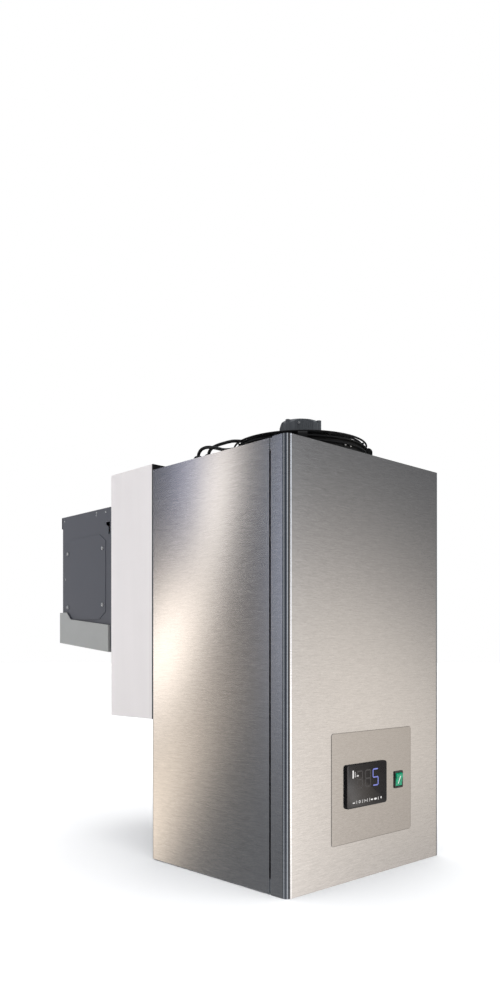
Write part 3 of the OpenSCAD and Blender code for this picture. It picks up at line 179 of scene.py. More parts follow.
def pattern(tree, kind, size_mm, **sockets):
    """A texture whose unit is this many millimetres, either on all axes or on each of the three."""
    sizes = size_mm if isinstance(size_mm, tuple) else (size_mm,) * 3
    place = add_node(tree, "TexCoord").outputs["Object"]
    scale = tuple(1 / (size * MM) for size in sizes)
    scaled = add_node(tree, "VectorMath", {0: place, 1: scale}, operation="MULTIPLY")
    return add_node(tree, kind, {"Vector": scaled.outputs[0], "Scale": 1.0, **sockets})


def spread(tree, value, low, high):
    """Spreads a pattern's middle range over low to high."""
    return add_node(tree, "MapRange", {
        "Value": value, "From Min": 0.25, "From Max": 0.75, "To Min": low, "To Max": high,
    }).outputs[0]


def mean_of(tree, one, other):
    """The mean of two patterns."""
    both = add_node(tree, "Math", {0: one, 1: other}, operation="ADD")
    return add_node(tree, "Math", {0: both.outputs[0], 1: 0.5}, operation="MULTIPLY").outputs[0]


def tinted(tree, shader, colour, factor, socket="Base Color"):
    """Multiplies a colour by a pattern and puts it on the shader."""
    mixed = add_node(tree, "VectorMath", {0: tuple(colour), "Scale": factor}, operation="SCALE")
    tree.links.new(mixed.outputs[0], shader.inputs[socket])


def varied(tree, shader, colour, value, shades, roughness):
    """Lets one pattern vary the colour and the roughness, each from a low to a high value."""
    tinted(tree, shader, colour, spread(tree, value, *shades))
    tree.links.new(spread(tree, value, *roughness), shader.inputs["Roughness"])


def raised(tree, shader, height, depth_mm, strength):
    """Gives the shader the relief of a pattern, depth_mm deep."""
    bump = add_node(tree, "Bump", {
        "Height": height, "Distance": depth_mm * MM, "Strength": strength})
    tree.links.new(bump.outputs[0], shader.inputs["Normal"])


def brushed_stainless(colour):
    """Stainless steel 1.4301, cold rolled and belt brushed along the sheet.

    The belt leaves fine scratches across the width, so the steel mirrors the room in tall soft
    streaks. The scratches are under 0.1 mm wide, too fine to show, so they are drawn 1.8 mm and
    0.6 mm wide."""
    material, tree, shader = new_material(
        "brushed_stainless_steel", Metallic=1.0, Anisotropic=0.6, Anisotropic_Rotation=0.25)
    coarse = pattern(tree, "TexNoise", (22, 22, 1.8), Detail=3.0, Roughness=0.6)
    fine = pattern(tree, "TexNoise", (5, 5, 0.6), Detail=2.0)
    scratches = mean_of(tree, coarse.outputs[0], fine.outputs[0])
    varied(tree, shader, colour, scratches, (0.8, 1.14), (0.13, 0.155))
    tangent = add_node(tree, "Tangent", direction_type="RADIAL", axis="Z")
    tree.links.new(tangent.outputs[0], shader.inputs["Tangent"])
    raised(tree, shader, coarse.outputs[0], 0.02, 0.12)
    return material


def galvanised_steel(colour):
    """Hot-dip galvanised sheet, as rolled: grey zinc with a faint crystal spangle of 6 mm."""
    material, tree, shader = new_material("galvanised_steel_sheet", Metallic=0.9)
    cells = pattern(tree, "TexVoronoi", 6, Randomness=1.0)
    grey = add_node(tree, "SeparateColor", {0: cells.outputs["Color"]}).outputs[0]
    cloud = pattern(tree, "TexNoise", 40, Detail=3.0)
    spangle = mean_of(tree, grey, cloud.outputs[0])
    varied(tree, shader, colour, spangle, (0.82, 1.08), (0.38, 0.52))
    raised(tree, shader, cloud.outputs[0], 0.05, 0.3)
    return material


def powder_coat(name, colour, roughness, peel_mm):
    """Polyester powder coat, sprayed and baked on steel.

    It is an even colour with an orange-peel skin, which breaks the gloss into small waves."""
    material, tree, shader = new_material(name, Metallic=0.0, IOR=1.5)
    peel = pattern(tree, "TexNoise", peel_mm, Detail=2.0)
    cloud = pattern(tree, "TexNoise", 60, Detail=4.0)
    varied(tree, shader, colour, cloud.outputs[0], (0.94, 1.06),
           (roughness - 0.04, roughness + 0.04))
    raised(tree, shader, peel.outputs[0], 0.05, 0.35)
    return material


def cast_motor_paint(colour):
    """Die-cast aluminium motor housing under matt grey paint, with the mould's fine grain.

    Below the guard's top the colour is darkened to 0.12 of itself, a painted shade that stands in
    for the shade inside the guard."""
    material, tree, shader = new_material("painted_die_cast_aluminium", Metallic=0.15, IOR=1.5)
    grain = pattern(tree, "TexNoise", 1.2, Detail=3.0)
    place = add_node(tree, "SeparateXYZ", {0: add_node(tree, "TexCoord").outputs["Object"]})
    # Painted shade: below the guard's top the colour drops to 0.12, standing in for the guard's
    # shade.
    above_painted_shade = add_node(tree, "Math", {
        0: place.outputs["Z"], 1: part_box("fan_guard")[1].z + MM}, operation="GREATER_THAN")
    share = add_node(tree, "MapRange", {"Value": above_painted_shade.outputs[0], "To Min": 0.12}).outputs[0]
    shade = add_node(tree, "Math", {
        0: spread(tree, grain.outputs[0], 0.85, 1.15), 1: share}, operation="MULTIPLY")
    tinted(tree, shader, colour, shade.outputs[0])
    tree.links.new(spread(tree, grain.outputs[0], 0.45, 0.6), shader.inputs["Roughness"])
    raised(tree, shader, grain.outputs[0], 0.08, 0.5)
    return material


def bright_metal(name, colour, roughness, streak_mm, variation):
    """Bare or plated metal with faint drawing or turning marks along its length."""
    material, tree, shader = new_material(name, Metallic=1.0)
    marks = pattern(tree, "TexNoise", streak_mm, Detail=4.0)
    varied(tree, shader, colour, marks.outputs[0], (1 - variation, 1 + variation / 2),
           (roughness - 0.05, roughness + 0.07))
    raised(tree, shader, marks.outputs[0], 0.03, 0.3)
    return material


def moulded_plastic(name, colour, roughness, grain_mm, relief):
    """Moulded ABS or polyamide: one colour right through, with the mould's spark-eroded grain."""
    material, tree, shader = new_material(name, Metallic=0.0, IOR=1.5)
    grain = pattern(tree, "TexNoise", grain_mm, Detail=2.0)
    varied(tree, shader, colour, grain.outputs[0], (0.9, 1.1),
           (roughness - 0.03, roughness + 0.03))
    raised(tree, shader, grain.outputs[0], 0.05, relief)
    return material


def acrylic_window(colour):
    """Smoked acrylic sheet: near black, with a soft gloss that blurs what it mirrors."""
    material, tree, shader = new_material("smoked_acrylic_window", Metallic=0.0, IOR=1.49)
    wipe = pattern(tree, "TexNoise", (30, 30, 12), Detail=3.0)
    varied(tree, shader, colour, wipe.outputs[0], (0.85, 1.15), (0.24, 0.32))
    return material


def lit_polycarbonate(colour):
    """Green polycarbonate rocker, moulded and lit from inside by its neon lamp.

    The lamp shines through the wall unevenly, in patches of about 7 mm."""
    material, tree, shader = new_material(
        "lit_green_polycarbonate", Metallic=0.0, IOR=1.58, Roughness=0.16,
        Emission_Strength=0.35)
    cloud = pattern(tree, "TexNoise", (7, 7, 5), Detail=2.0)
    tinted(tree, shader, colour, spread(tree, cloud.outputs[0], 0.65, 1.25))
    tinted(tree, shader, colour, spread(tree, cloud.outputs[0], 0.3, 1.3), "Emission Color")
    return material


def foil_label(colour, centre, size):
    """Metal-look polyester foil, printed and cut: a mottled grey with a darker cut edge.

    centre and size, its width and height, say where the edge is, which is 1 mm wide."""
    material, tree, shader = new_material(
        "printed_metal_look_foil", Metallic=1.0, Anisotropic=0.6, Anisotropic_Rotation=0.25)
    tangent = add_node(tree, "Tangent", direction_type="RADIAL", axis="Z")
    tree.links.new(tangent.outputs[0], shader.inputs["Tangent"])
    mottle = pattern(tree, "TexNoise", (9, 9, 1.8), Detail=4.0, Roughness=0.65)
    place = add_node(tree, "TexCoord").outputs["Object"]
    away = add_node(tree, "VectorMath", {0: place, 1: centre}, operation="SUBTRACT")
    away = add_node(tree, "VectorMath", {0: away.outputs[0]}, operation="ABSOLUTE")
    away = add_node(tree, "SeparateXYZ", {0: away.outputs[0]})
    side = add_node(tree, "Math", {0: away.outputs["X"], 1: size[0] / 2}, operation="SUBTRACT")
    head = add_node(tree, "Math", {0: away.outputs["Z"], 1: size[1] / 2}, operation="SUBTRACT")
    edge = add_node(tree, "Math", {0: side.outputs[0], 1: head.outputs[0]}, operation="MAXIMUM")
    edge_shade = add_node(tree, "MapRange", {
        "Value": edge.outputs[0], "From Min": -1.6 * MM, "From Max": -0.6 * MM,
        "To Min": 1.0, "To Max": 0.62}).outputs[0]
    shade = add_node(tree, "Math", {
        0: spread(tree, mottle.outputs[0], 0.88, 1.1), 1: edge_shade}, operation="MULTIPLY")
    tinted(tree, shader, colour, shade.outputs[0])
    tree.links.new(spread(tree, mottle.outputs[0], 0.17, 0.24), shader.inputs["Roughness"])
    raised(tree, shader, mottle.outputs[0], 0.03, 0.3)
    return material


def prepainted_sheet(colour):
    """White prepainted sheet on the plug: a smooth skin with long, shallow roll waves."""
    material, tree, shader = new_material("white_prepainted_sheet", Metallic=0.0, IOR=1.5)
    waves = pattern(tree, "TexNoise", (40, 40, 400), Detail=3.0)
    dust = pattern(tree, "TexNoise", 2, Detail=2.0)
    tinted(tree, shader, colour, spread(tree, waves.outputs[0], 0.965, 1.02))
    tree.links.new(spread(tree, dust.outputs[0], 0.3, 0.4), shader.inputs["Roughness"])
    raised(tree, shader, waves.outputs[0], 0.3, 0.15)
    return material


def rubber_compound(name, colour, roughness):
    """EPDM or PVC rubber, extruded: matt black with a talc bloom in patches."""
    material, tree, shader = new_material(name, Metallic=0.0, IOR=1.5)
    bloom = pattern(tree, "TexNoise", 9, Detail=5.0)
    varied(tree, shader, colour, bloom.outputs[0], (0.8, 1.4),
           (roughness - 0.08, roughness + 0.08))
    raised(tree, shader, bloom.outputs[0], 0.05, 0.3)
    return material


def rigid_foam(colour):
    """Cut polyurethane foam: pale yellow, with open cells of 1.5 mm on the cut face."""
    material, tree, shader = new_material("rigid_polyurethane_foam", Metallic=0.0, Roughness=0.9)
    cells = pattern(tree, "TexVoronoi", 1.5)
    tinted(tree, shader, colour, spread(tree, cells.outputs["Distance"], 0.75, 1.1))
    raised(tree, shader, cells.outputs["Distance"], 0.4, 0.6)
    return material


def glowing_film(name, colour, strength):
    """Light from a display segment or key through its film, a little uneven as lamps are. On
    segments that are off the glow is painted light, standing in for the light their diffuser
    reflects.
    """
    material, tree, shader = new_material(name, Roughness=0.4, Emission_Strength=strength)
    cloud = pattern(tree, "TexNoise", 4, Detail=1.0)
    tinted(tree, shader, colour, spread(tree, cloud.outputs[0], 0.8, 1.15), "Emission Color")
    tinted(tree, shader, colour, 0.2)
    return material


# Mesh pieces

def seat(origin, across, up):
    """Frame of a flat seat: across and up lie in it, and its third axis points out of it."""
    across, up = Vector(across), Vector(up)
    turn = Matrix((across, up, across.cross(up))).transposed().to_4x4()
    return Matrix.Translation(Vector(origin)) @ turn


def fan_seat(turn, radius, height):
    """A seat that faces away from the condenser fan's axis, in a direction of turn degrees."""
    out = Vector((math.cos(math.radians(turn)), math.sin(math.radians(turn)), 0))
    place = FAN_AXIS + out * radius + Vector((0, 0, height))
    return seat(place, out.cross(Vector((0, 0, -1))), (0, 0, 1))


def add_sections(bm, sections):
    """Joins closed outlines of equal length into a skin, and closes both ends."""
    rings = [[bm.verts.new(point) for point in section] for section in sections]
    count = len(rings[0])
    for lower, upper in zip(rings, rings[1:]):
        for i in range(count):
            j = (i + 1) % count
            bm.faces.new((lower[i], lower[j], upper[j], upper[i]))
    bm.faces.new(rings[0][::-1])
    bm.faces.new(rings[-1])


def add_plate(bm, place, outline, thickness, bevel):
    """A plate with a bevelled front edge. outline gives its points, drawn in by a length."""
    knee = bevel * 0.3
    steps = ((0, 0), (0, thickness - bevel), (knee, thickness - knee), (bevel, thickness))
    add_sections(bm, [[place @ Vector((u, v, height)) for u, v in outline(length)]
                      for length, height in steps])


def add_turned(bm, place, profile, steps):
    """A body turned about the seat's outward axis, from (radius, height) pairs, bottom to top."""
    add_sections(bm, [[place @ Vector((
        radius * math.cos(2 * math.pi * i / steps),
        radius * math.sin(2 * math.pi * i / steps), height)) for i in range(steps)]
        for radius, height in profile])


def round_outline(width, height, radius):
    """Outline of a rectangle with round corners, counter-clockwise."""
    steps = 6
    points = []
    for quarter, (sx, sy) in enumerate(((1, 1), (-1, 1), (-1, -1), (1, -1))):
        for i in range(steps + 1):
            angle = math.pi / 2 * (quarter + i / steps)
            points.append((sx * (width / 2 - radius) + radius * math.cos(angle),
                           sy * (height / 2 - radius) + radius * math.sin(angle)))
    return points


MATERIALS = {}


def finish_piece(bm, name, look, body, sharp=35):
    """Makes an object of a bmesh with a look from MATERIALS, and lets it ride on its body.

    Edges of more than sharp degrees stay sharp."""
    bmesh.ops.recalc_face_normals(bm, faces=bm.faces)
    mesh = bpy.data.meshes.new(name)
    bm.to_mesh(mesh)
    bm.free()
    for face in mesh.polygons:
        face.use_smooth = True
    mesh.set_sharp_from_angle(angle=math.radians(sharp))
    mesh.materials.append(MATERIALS[look])
    piece = bpy.data.objects.new(name, mesh)
    bpy.context.scene.collection.objects.link(piece)
    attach(piece, body)
    return piece


def add_pan_head(bm, place, radius, height):
    """Pan head of a screw with a cross recess, standing on its seat.

    Its lengths are shares of the radius and the height. The cross has arms twice half_arm wide
    that end at reach, and its floor falls towards the middle."""
    steps = 40
    shares = (1.0, 1.0, 0.94, 0.8, 0.62, 0.5, 0.4, 0.28, 0.16, 0.06)
    heights = (0.0, 0.45, 0.75, 0.92, 0.98, 1.0, 1.0, 1.0, 1.0, 1.0)
    half_arm, reach = 0.13, 0.5
    rim_depth, fall, fall_reach = 0.12, 0.55, 0.62
    sections = []
    for share, top in zip(shares, heights):
        ring = []
        for i in range(steps):
            angle = 2 * math.pi * i / steps
            u, v = share * math.cos(angle), share * math.sin(angle)
            in_arm = min(abs(u), abs(v)) < half_arm and share <= reach
            depth = fall * (1 - share / fall_reach) + rim_depth if in_arm else 0
            ring.append(place @ Vector((u * radius, v * radius, (top - depth) * height)))
        sections.append(ring)
    add_sections(bm, sections)


# Settings

class UnitColours(bpy.types.PropertyGroup):
    """Colours of the unit's finishes."""
    stainless: colour_property("Stainless steel", "Tint of the panels' reflections", "#C4C5C7")
    galvanised: colour_property("Galvanised steel", "Zinc on the tray, posts and back", "#A9ADB0")
    black_steel: colour_property("Black powder coat", "Fan ring, guard and compressor", "#060607")
    dark_grey_steel: colour_property("Dark grey powder coat", "Evaporator casing", "#4D4F56")
    light_grey_steel: colour_property("Light grey powder coat", "Drip tray", "#9C9D9B")
    motor_grey: colour_property("Motor grey", "Paint on both fan motors", "#54575B")
    zinc: colour_property("Zinc plate", "Screws, rivets and the fan shaft", "#DDDEDD")
    aluminium: colour_property("Rolled aluminium", "Fins and fan blades", "#C4C6C9")
    copper: colour_property("Copper", "Tubes and filter drier", "#C98A62")
    black_plastic: colour_property("Black plastic", "Switch body, controller, glands", "#101011")
    gloss_black: colour_property("Smoked acrylic", "The controller's window", "#151112")
    green_plastic: colour_property("Green polycarbonate", "The lit rocker", "#0B8E68")
    label_film: colour_property("Label foil", "The foil behind the controls", "#AFAEAD")
    ivory_plastic: colour_property("Ivory plastic", "Terminal block and drain spout", "#D9D4C4")
    white_plastic: colour_property("White sheet", "The wall plug's skin", "#E6E1E0")
    foam: colour_property("Foam", "The wall plug's core", "#D9C890")
    rubber: colour_property("Rubber", "Seals, grommets and leads", "#0B0B0C")
    digit: colour_property("Lit digit", "The display's lit digit", "#7F88DC")
    key_mark: colour_property("Key mark", "Marks of the touch keys", "#F4F2F0")
    # Segments that are off get a faint painted glow of this colour.
    dark_digit: colour_property("Dark digit", "Digits of the display that are off", "#4A4647")


class UnitSizes(bpy.types.PropertyGroup):
    """Sizes of the small parts that the studio model adds."""
    digit_h: length_property("Digit height", "Height of a display digit", 30.5)
    digit_w: length_property("Digit width", "Width of a display digit", 16.5)
    digit_stroke: length_property("Digit stroke", "Width of a display segment", 2.2)
    print_t: length_property("Mark thickness", "How far marks stand off the window", 0.08)
    key_h: length_property("Key mark height", "Height of the touch keys' marks", 5.5)
    window_bevel: length_property("Window bevel", "Bevel round the controller's window", 1.0)
    screw_r: length_property("Screw head radius", "Pan heads on the casing and the fan legs", 4.2)
    screw_h: length_property("Screw head height", "Height of a pan head", 2.2)
    back_screw_r: length_property("Back screw radius", "Pan heads on the back panel", 4.5)
    rivet_r: length_property("Rivet radius", "Blind rivets of the casing and ring", 2.4)
    rivet_h: length_property("Rivet height", "Height of a blind rivet's head", 0.9)
    lead_r: length_property("Lead radius", "Radius of both leads", 3.0)
    cover_bevel: length_property("Cover bevel", "Bevel round the access covers", 0.35)


class StudioSettings(bpy.types.PropertyGroup):
    """Light and floor of the studio."""
    floor: colour_property("Floor", "The studio's pale floor", "#FDFDFD")
    overhead: number_property("Overhead light", "Strength of the light from above", 2.75, 0, 20)
    key_power: number_property("Key light", "Watts of the soft light from the left", 3, 0, 500)
    fill_power: number_property("Front light", "Watts of the soft light from the front", 8, 0, 500)
    floor_size: number_property("Floor size", "Side of the floor in metres", 60, 5, 500)


# Operators

class MONOBLOCK_OT_stage(bpy.types.Operator):
    """Make the floor, the soft lights, the room that the steel mirrors, and the camera"""
    bl_idname = "monoblock.stage"
    bl_label = "Studio"

    def execute(self, context):
        settings = context.scene.monoblock_studio
        self.add_floor(context.scene, settings)
        self.add_lights(context.scene, settings)
        self.add_room(context.scene)
        self.add_camera(context.scene)
        context.scene.view_settings.view_transform = "Standard"
        return {"FINISHED"}

    def add_floor(self, scene, settings):
        material, tree, shader = new_material("pale_studio_floor", Roughness=0.9)
        cloud = pattern(tree, "TexNoise", 500, Detail=2.0)
        tinted(tree, shader, settings.floor, spread(tree, cloud.outputs[0], 0.99, 1.01))
        half = settings.floor_size / 2
        mesh = bpy.data.meshes.new("floor")
        corners = ((-half, -half), (half, -half), (half, half), (-half, half))
        mesh.from_pydata([(x, y, -FLOOR_DROP) for x, y in corners], [], [(0, 1, 2, 3)])
        mesh.materials.append(material)
        floor = bpy.data.objects.new("floor", mesh)
        scene.collection.objects.link(floor)
        floor.visible_glossy = False

    def add_lights(self, scene, settings):
        for name, kind, place, aim, setting, size in STUDIO_LIGHTS:
            data = bpy.data.lights.new(name, kind)
            data.energy = getattr(settings, setting)
            if kind == "SUN":
                data.angle = size
            else:
                data.size = size
            light = bpy.data.objects.new(name, data)
            light.location = place
            towards = Vector(aim) - Vector(place)
            light.rotation_euler = towards.to_track_quat("-Z", "Y").to_euler()
            light.visible_glossy = False
            scene.collection.objects.link(light)

    def add_room(self, scene):
        """Each patch is a soft ellipse of light, placed by its direction from the unit.

        The camera looks past the patches to a plain white background."""
        world = bpy.data.worlds.new("studio")
        scene.world = world
        world.use_nodes = True
        tree = world.node_tree
        tree.nodes.clear()
        ray = add_node(tree, "SeparateXYZ", {0: add_node(tree, "TexCoord").outputs["Generated"]})
        left = add_node(tree, "Math", {0: ray.outputs["X"], 1: -1.0}, operation="MULTIPLY")
        turn = add_node(tree, "Math", {
            0: left.outputs[0], 1: ray.outputs["Y"]}, operation="ARCTAN2")
        degrees = 180 / math.pi
        turn = add_node(tree, "Math", {0: turn.outputs[0], 1: degrees}, operation="MULTIPLY")
        azimuth = add_node(tree, "Math", {0: turn.outputs[0], 1: 360.0, 2: 0.0}, operation="WRAP")
        rise = add_node(tree, "Math", {0: ray.outputs["Z"]}, operation="ARCSINE")
        elevation = add_node(tree, "Math", {0: rise.outputs[0], 1: degrees}, operation="MULTIPLY")
        total = linear(STUDIO_AMBIENT)
        for place, height, wide, tall, lean, colour, strength in STUDIO_PATCHES:
            up = add_node(tree, "Math", {0: elevation.outputs[0], 1: height}, operation="SUBTRACT")
            across = add_node(tree, "Math", {0: azimuth.outputs[0], 1: place}, operation="SUBTRACT")
            skewed = add_node(tree, "Math", {
                0: up.outputs[0], 1: -lean, 2: across.outputs[0]}, operation="MULTIPLY_ADD")
            u = add_node(tree, "Math", {0: skewed.outputs[0], 1: wide}, operation="DIVIDE")
            v = add_node(tree, "Math", {0: up.outputs[0], 1: tall}, operation="DIVIDE")
            uu = add_node(tree, "Math", {0: u.outputs[0], 1: u.outputs[0]}, operation="MULTIPLY")
            square = add_node(tree, "Math", {
                0: v.outputs[0], 1: v.outputs[0], 2: uu.outputs[0]}, operation="MULTIPLY_ADD")
            power = add_node(tree, "Math", {0: square.outputs[0], 1: -1.0}, operation="MULTIPLY")
            soft = add_node(tree, "Math", {0: power.outputs[0]}, operation="EXPONENT")
            light = add_node(tree, "VectorMath", {
                0: tuple(c * strength for c in linear(colour)), "Scale": soft.outputs[0]},
                operation="SCALE")
            total = add_node(
                tree, "VectorMath", {0: light.outputs[0], 1: total}, operation="ADD").outputs[0]
        mirrored = add_node(tree, "Background", {"Color": total, "Strength": 1.0})
        plain = add_node(tree, "Background", {"Color": (1, 1, 1, 1), "Strength": 1.0})
        seen = add_node(tree, "LightPath").outputs["Is Camera Ray"]
        either = add_node(tree, "MixShader", {
            0: seen, 1: mirrored.outputs[0], 2: plain.outputs[0]})
        add_node(tree, "OutputWorld", {"Surface": either.outputs[0]})

    def add_camera(self, scene):
        data = bpy.data.cameras.new("camera")
        data.sensor_width = SENSOR
        data.lens = SENSOR * FOCAL_SHARE
        data.shift_y = HORIZON_SHIFT
        camera = bpy.data.objects.new("camera", data)
        camera.location = CAMERA_PLACE
        camera.rotation_euler = CAMERA_TURN
        scene.collection.objects.link(camera)
        scene.camera = camera


class MONOBLOCK_OT_finishes(bpy.types.Operator):
    """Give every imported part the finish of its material"""
    bl_idname = "monoblock.finishes"
    bl_label = "Finishes"

    def execute(self, context):
        c = context.scene.monoblock_colours
        low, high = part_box("control_label")
        MATERIALS.update({
            "stainless": brushed_stainless(c.stainless),
            "galvanised": galvanised_steel(c.galvanised),
            "black_steel": powder_coat("black_powder_coat", c.black_steel, 0.66, 1.5),
            "dark_grey_steel": powder_coat("dark_grey_powder_coat", c.dark_grey_steel, 0.42, 2.0),
            "light_grey_steel": powder_coat(
                "light_grey_powder_coat", c.light_grey_steel, 0.35, 2.0),
            "motor_grey": cast_motor_paint(c.motor_grey),
            "zinc": bright_metal("zinc_plated_steel", c.zinc, 0.25, (1, 1, 1), 0.12),
            "aluminium": bright_metal("rolled_aluminium", c.aluminium, 0.32, (3, 30, 30), 0.1),
            "copper": bright_metal("drawn_copper_tube", c.copper, 0.28, (40, 3, 3), 0.15),
            "black_plastic": moulded_plastic("black_abs", c.black_plastic, 0.35, 0.8, 0.3),
            "gloss_black": acrylic_window(c.gloss_black),
            "green_plastic": lit_polycarbonate(c.green_plastic),
            "label_film": foil_label(
                c.label_film, tuple((low + high) / 2), (high.x - low.x, high.z - low.z)),
            "ivory_plastic": moulded_plastic("ivory_polyamide", c.ivory_plastic, 0.45, 1.0, 0.2),
            "white_plastic": prepainted_sheet(c.white_plastic),
            "foam": rigid_foam(c.foam),
            "rubber": rubber_compound("black_epdm_rubber", c.rubber, 0.62),
            "digit": glowing_film("lit_display_segment", c.digit, 0.8),
            "key_mark": glowing_film("lit_key_mark", c.key_mark, 0.75),
            # Segments that are off glow faintly: a painted glow standing in for the light they
            # reflect.
            "dark_digit": glowing_film("unlit_display_segment", c.dark_digit, 0.35),
        })
        for part in frame["record"]["subparts"]:
            mesh = frame["nodes"][part["node"]].data
            mesh.materials.clear()
            mesh.materials.append(MATERIALS[part["material_slot"]])
        return {"FINISHED"}


# Segments of a digit: middle across, middle up, in shares of its half size, and lying or not
SEGMENTS = {
    "top": (0, 1, True), "middle": (0, 0, True), "foot": (0, -1, True),
    "upper_left": (-1, 0.5, False), "upper_right": (1, 0.5, False),
    "lower_left": (-1, -0.5, False), "lower_right": (1, -0.5, False),
}
FIVE = ("top", "middle", "foot", "upper_left", "lower_right")


class MONOBLOCK_OT_controller(bpy.types.Operator):
    """Make the controller's bevelled window, its digits and the marks of its touch keys"""
    bl_idname = "monoblock.controller"
    bl_label = "Controller"

    corner_radius = 5 * MM
    # Places are in millimetres, across from the cabinet's middle and up from the floor
    digit_z, lit_x, dark_x = 172.7, 7.3, (-14.1, -36.8)
    # Middle across, middle up, width, height and cut of its ends
    status_marks = (
        (-54.6, 183, 3.2, 14, 0.6), (-49.2, 182, 1.2, 9, 0), (-42.6, 179.5, 5.5, 2.6, 0.6))
    # The touch keys' marks stand in one row, with thin lines among them
    key_z, line_t = 134.4, 0.9
    line_x = (-45.0, -29.5, -24.5, -15.5, -9.5, 15.0)
    ring_x, ring_share = -37, 0.36
    cross_x, cross_arm = -20, 3.4
    # Middle across, width, height and cut of its ends
    lozenges = ((-3, 7, 2.4, 1.2), (7, 8, 3.4, 1.6))
    # Middle across, width, height and rise in shares of the key marks' height, cut of its ends
    tray, drop = (-52.5, 7, 0.3, -0.1, 0.8), (23, 3, 0.8, 0.1, 1.2)

    def execute(self, context):
        self.sizes = sizes = context.scene.monoblock_sizes
        low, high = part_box("controller_lens")
        middle = (low + high) / 2
        face = high.y - low.y - sizes.print_t
        window = seat((middle.x, high.y, middle.z), (1, 0, 0), (0, 0, 1))
        width, height = high.x - low.x, high.z - low.z
        bm = bmesh.new()
        add_plate(bm, window, lambda length: round_outline(
            width - 2 * length, height - 2 * length, self.corner_radius - length),
            face, sizes.window_bevel)
        glass = finish_piece(bm, "controller_window", "gloss_black", "unit")
        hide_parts("controller_lens")
        self.marks = seat((0, high.y - face, 0), (1, 0, 0), (0, 0, 1))
        self.add_digits()
        self.add_status_marks()
        self.add_key_marks()
        return {"FINISHED"}

    def flat(self, bm, outline):
        """A thin mark on the window's face."""
        add_sections(bm, [[self.marks @ Vector((x, z, lift)) for x, z in outline]
                          for lift in (0, self.sizes.print_t)])

    def bar(self, bm, x, z, width, height, cut=0.0):
        """A flat bar centred at x and z, its ends cut to points when cut is set."""
        w, h = width / 2, height / 2
        if height >= width:
            outline = ((-w, cut - h), (0, -h), (w, cut - h), (w, h - cut), (0, h), (-w, h - cut))
        else:
            outline = ((-w, 0), (cut - w, -h), (w - cut, -h), (w, 0), (w - cut, h), (cut - w, h))
        self.flat(bm, [(x + u, z + v) for u, v in outline])

    def digit(self, bm, x, z, lit):
        stroke = self.sizes.digit_stroke
        half_w = (self.sizes.digit_w - stroke) / 2
        half_h = (self.sizes.digit_h - stroke) / 2
        gap = 0.15 * stroke
        for name in lit:
            across, up, lying = SEGMENTS[name]
            length = (2 * half_w if lying else half_h) - gap
            self.bar(bm, x + across * half_w, z + up * half_h,
                     length if lying else stroke, stroke if lying else length, stroke / 2)

    def add_digits(self):
        height = self.digit_z * MM
        bm = bmesh.new()
        self.digit(bm, self.lit_x * MM, height, FIVE)
        finish_piece(bm, "lit_digit", "digit", "unit")
        # The dark digits get a faint painted glow, though their segments are off.
        bm = bmesh.new()
        for x in self.dark_x:
            self.digit(bm, x * MM, height, SEGMENTS)
        finish_piece(bm, "dark_digits", "dark_digit", "unit")

    def add_status_marks(self):
        bm = bmesh.new()
        for mark in self.status_marks:
            self.bar(bm, *(length * MM for length in mark))
        finish_piece(bm, "status_marks", "key_mark", "unit")

    def ring(self, bm, x, z, radius, stroke):
        """A flat ring, made of bars round a circle."""
        steps = 12
        for i in range(steps):
            angle = 2 * math.pi * i / steps
            middle = Vector((x + radius * math.cos(angle), z + radius * math.sin(angle)))
            length = 2 * radius * math.tan(math.pi / steps) + stroke / 2
            along = Vector((-math.sin(angle), math.cos(angle))) * length / 2
            out = Vector((math.cos(angle), math.sin(angle))) * stroke / 2
            self.flat(bm, (middle - along - out, middle - along + out,
                           middle + along + out, middle + along - out))

    def add_key_marks(self):
        """From left to right a tray, a ring, a cross, two lozenges and a drop."""
        height, z, line = self.sizes.key_h, self.key_z * MM, self.line_t * MM
        bm = bmesh.new()

        def raised_bar(x, wide, share, rise, cut):
            self.bar(bm, x * MM, z + rise * height, wide * MM, share * height, cut * MM)

        raised_bar(*self.tray)
        for x in self.line_x:
            self.bar(bm, x * MM, z, line, height)
        self.ring(bm, self.ring_x * MM, z, self.ring_share * height, line)
        arm = self.cross_arm * MM
        for wide, tall in ((arm, line), (line, arm)):
            self.bar(bm, self.cross_x * MM, z, wide, tall)
        for x, wide, tall, cut in self.lozenges:
            self.bar(bm, x * MM, z, wide * MM, tall * MM, cut * MM)
        raised_bar(*self.drop)
        finish_piece(bm, "key_marks", "key_mark", "unit")


class MONOBLOCK_OT_rocker(bpy.types.Operator):
    """Put a painted highlight on the rocker: a glowing leaning stroke that stands in for a
    reflection
    """
    bl_idname = "monoblock.rocker"
    bl_label = "Rocker highlight"

    # At rest the rocker's top is out by this angle. Its pivot is behind the front cover's plane,
    # and its face stands off the pivot.
    tilt = math.radians(8)
    pivot_in, pivot_z, face_off = 2 * MM, 160.5 * MM, 5.5 * MM
    # The painted highlight is a glowing leaning stroke: half its width, half its height, half its
    # lean, its thickness
    half_w, half_h, lean, mark_t = 1.1 * MM, 7 * MM, 2.6 * MM, 0.12 * MM

    def execute(self, context):
        low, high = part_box("switch_rocker")
        pivot = Vector(((low.x + high.x) / 2, FRONT_Y + self.pivot_in, self.pivot_z))
        out = Vector((0, -math.cos(self.tilt), -math.sin(self.tilt)))
        up = Vector((0, -math.sin(self.tilt), math.cos(self.tilt)))
        face = seat(pivot + out * self.face_off, (1, 0, 0), up)
        corners = [(end * self.lean + side * self.half_w, end * self.half_h)
                   for end, side in ((-1, -1), (-1, 1), (1, 1), (1, -1))]
        bm = bmesh.new()
        add_sections(bm, [[face @ Vector((u, v, lift)) for u, v in corners]
                          for lift in (0, self.mark_t)])
        # The painted highlight glows with the key marks' lit film.
        finish_piece(bm, "rocker_mark", "key_mark", "rocker")
        return {"FINISHED"}


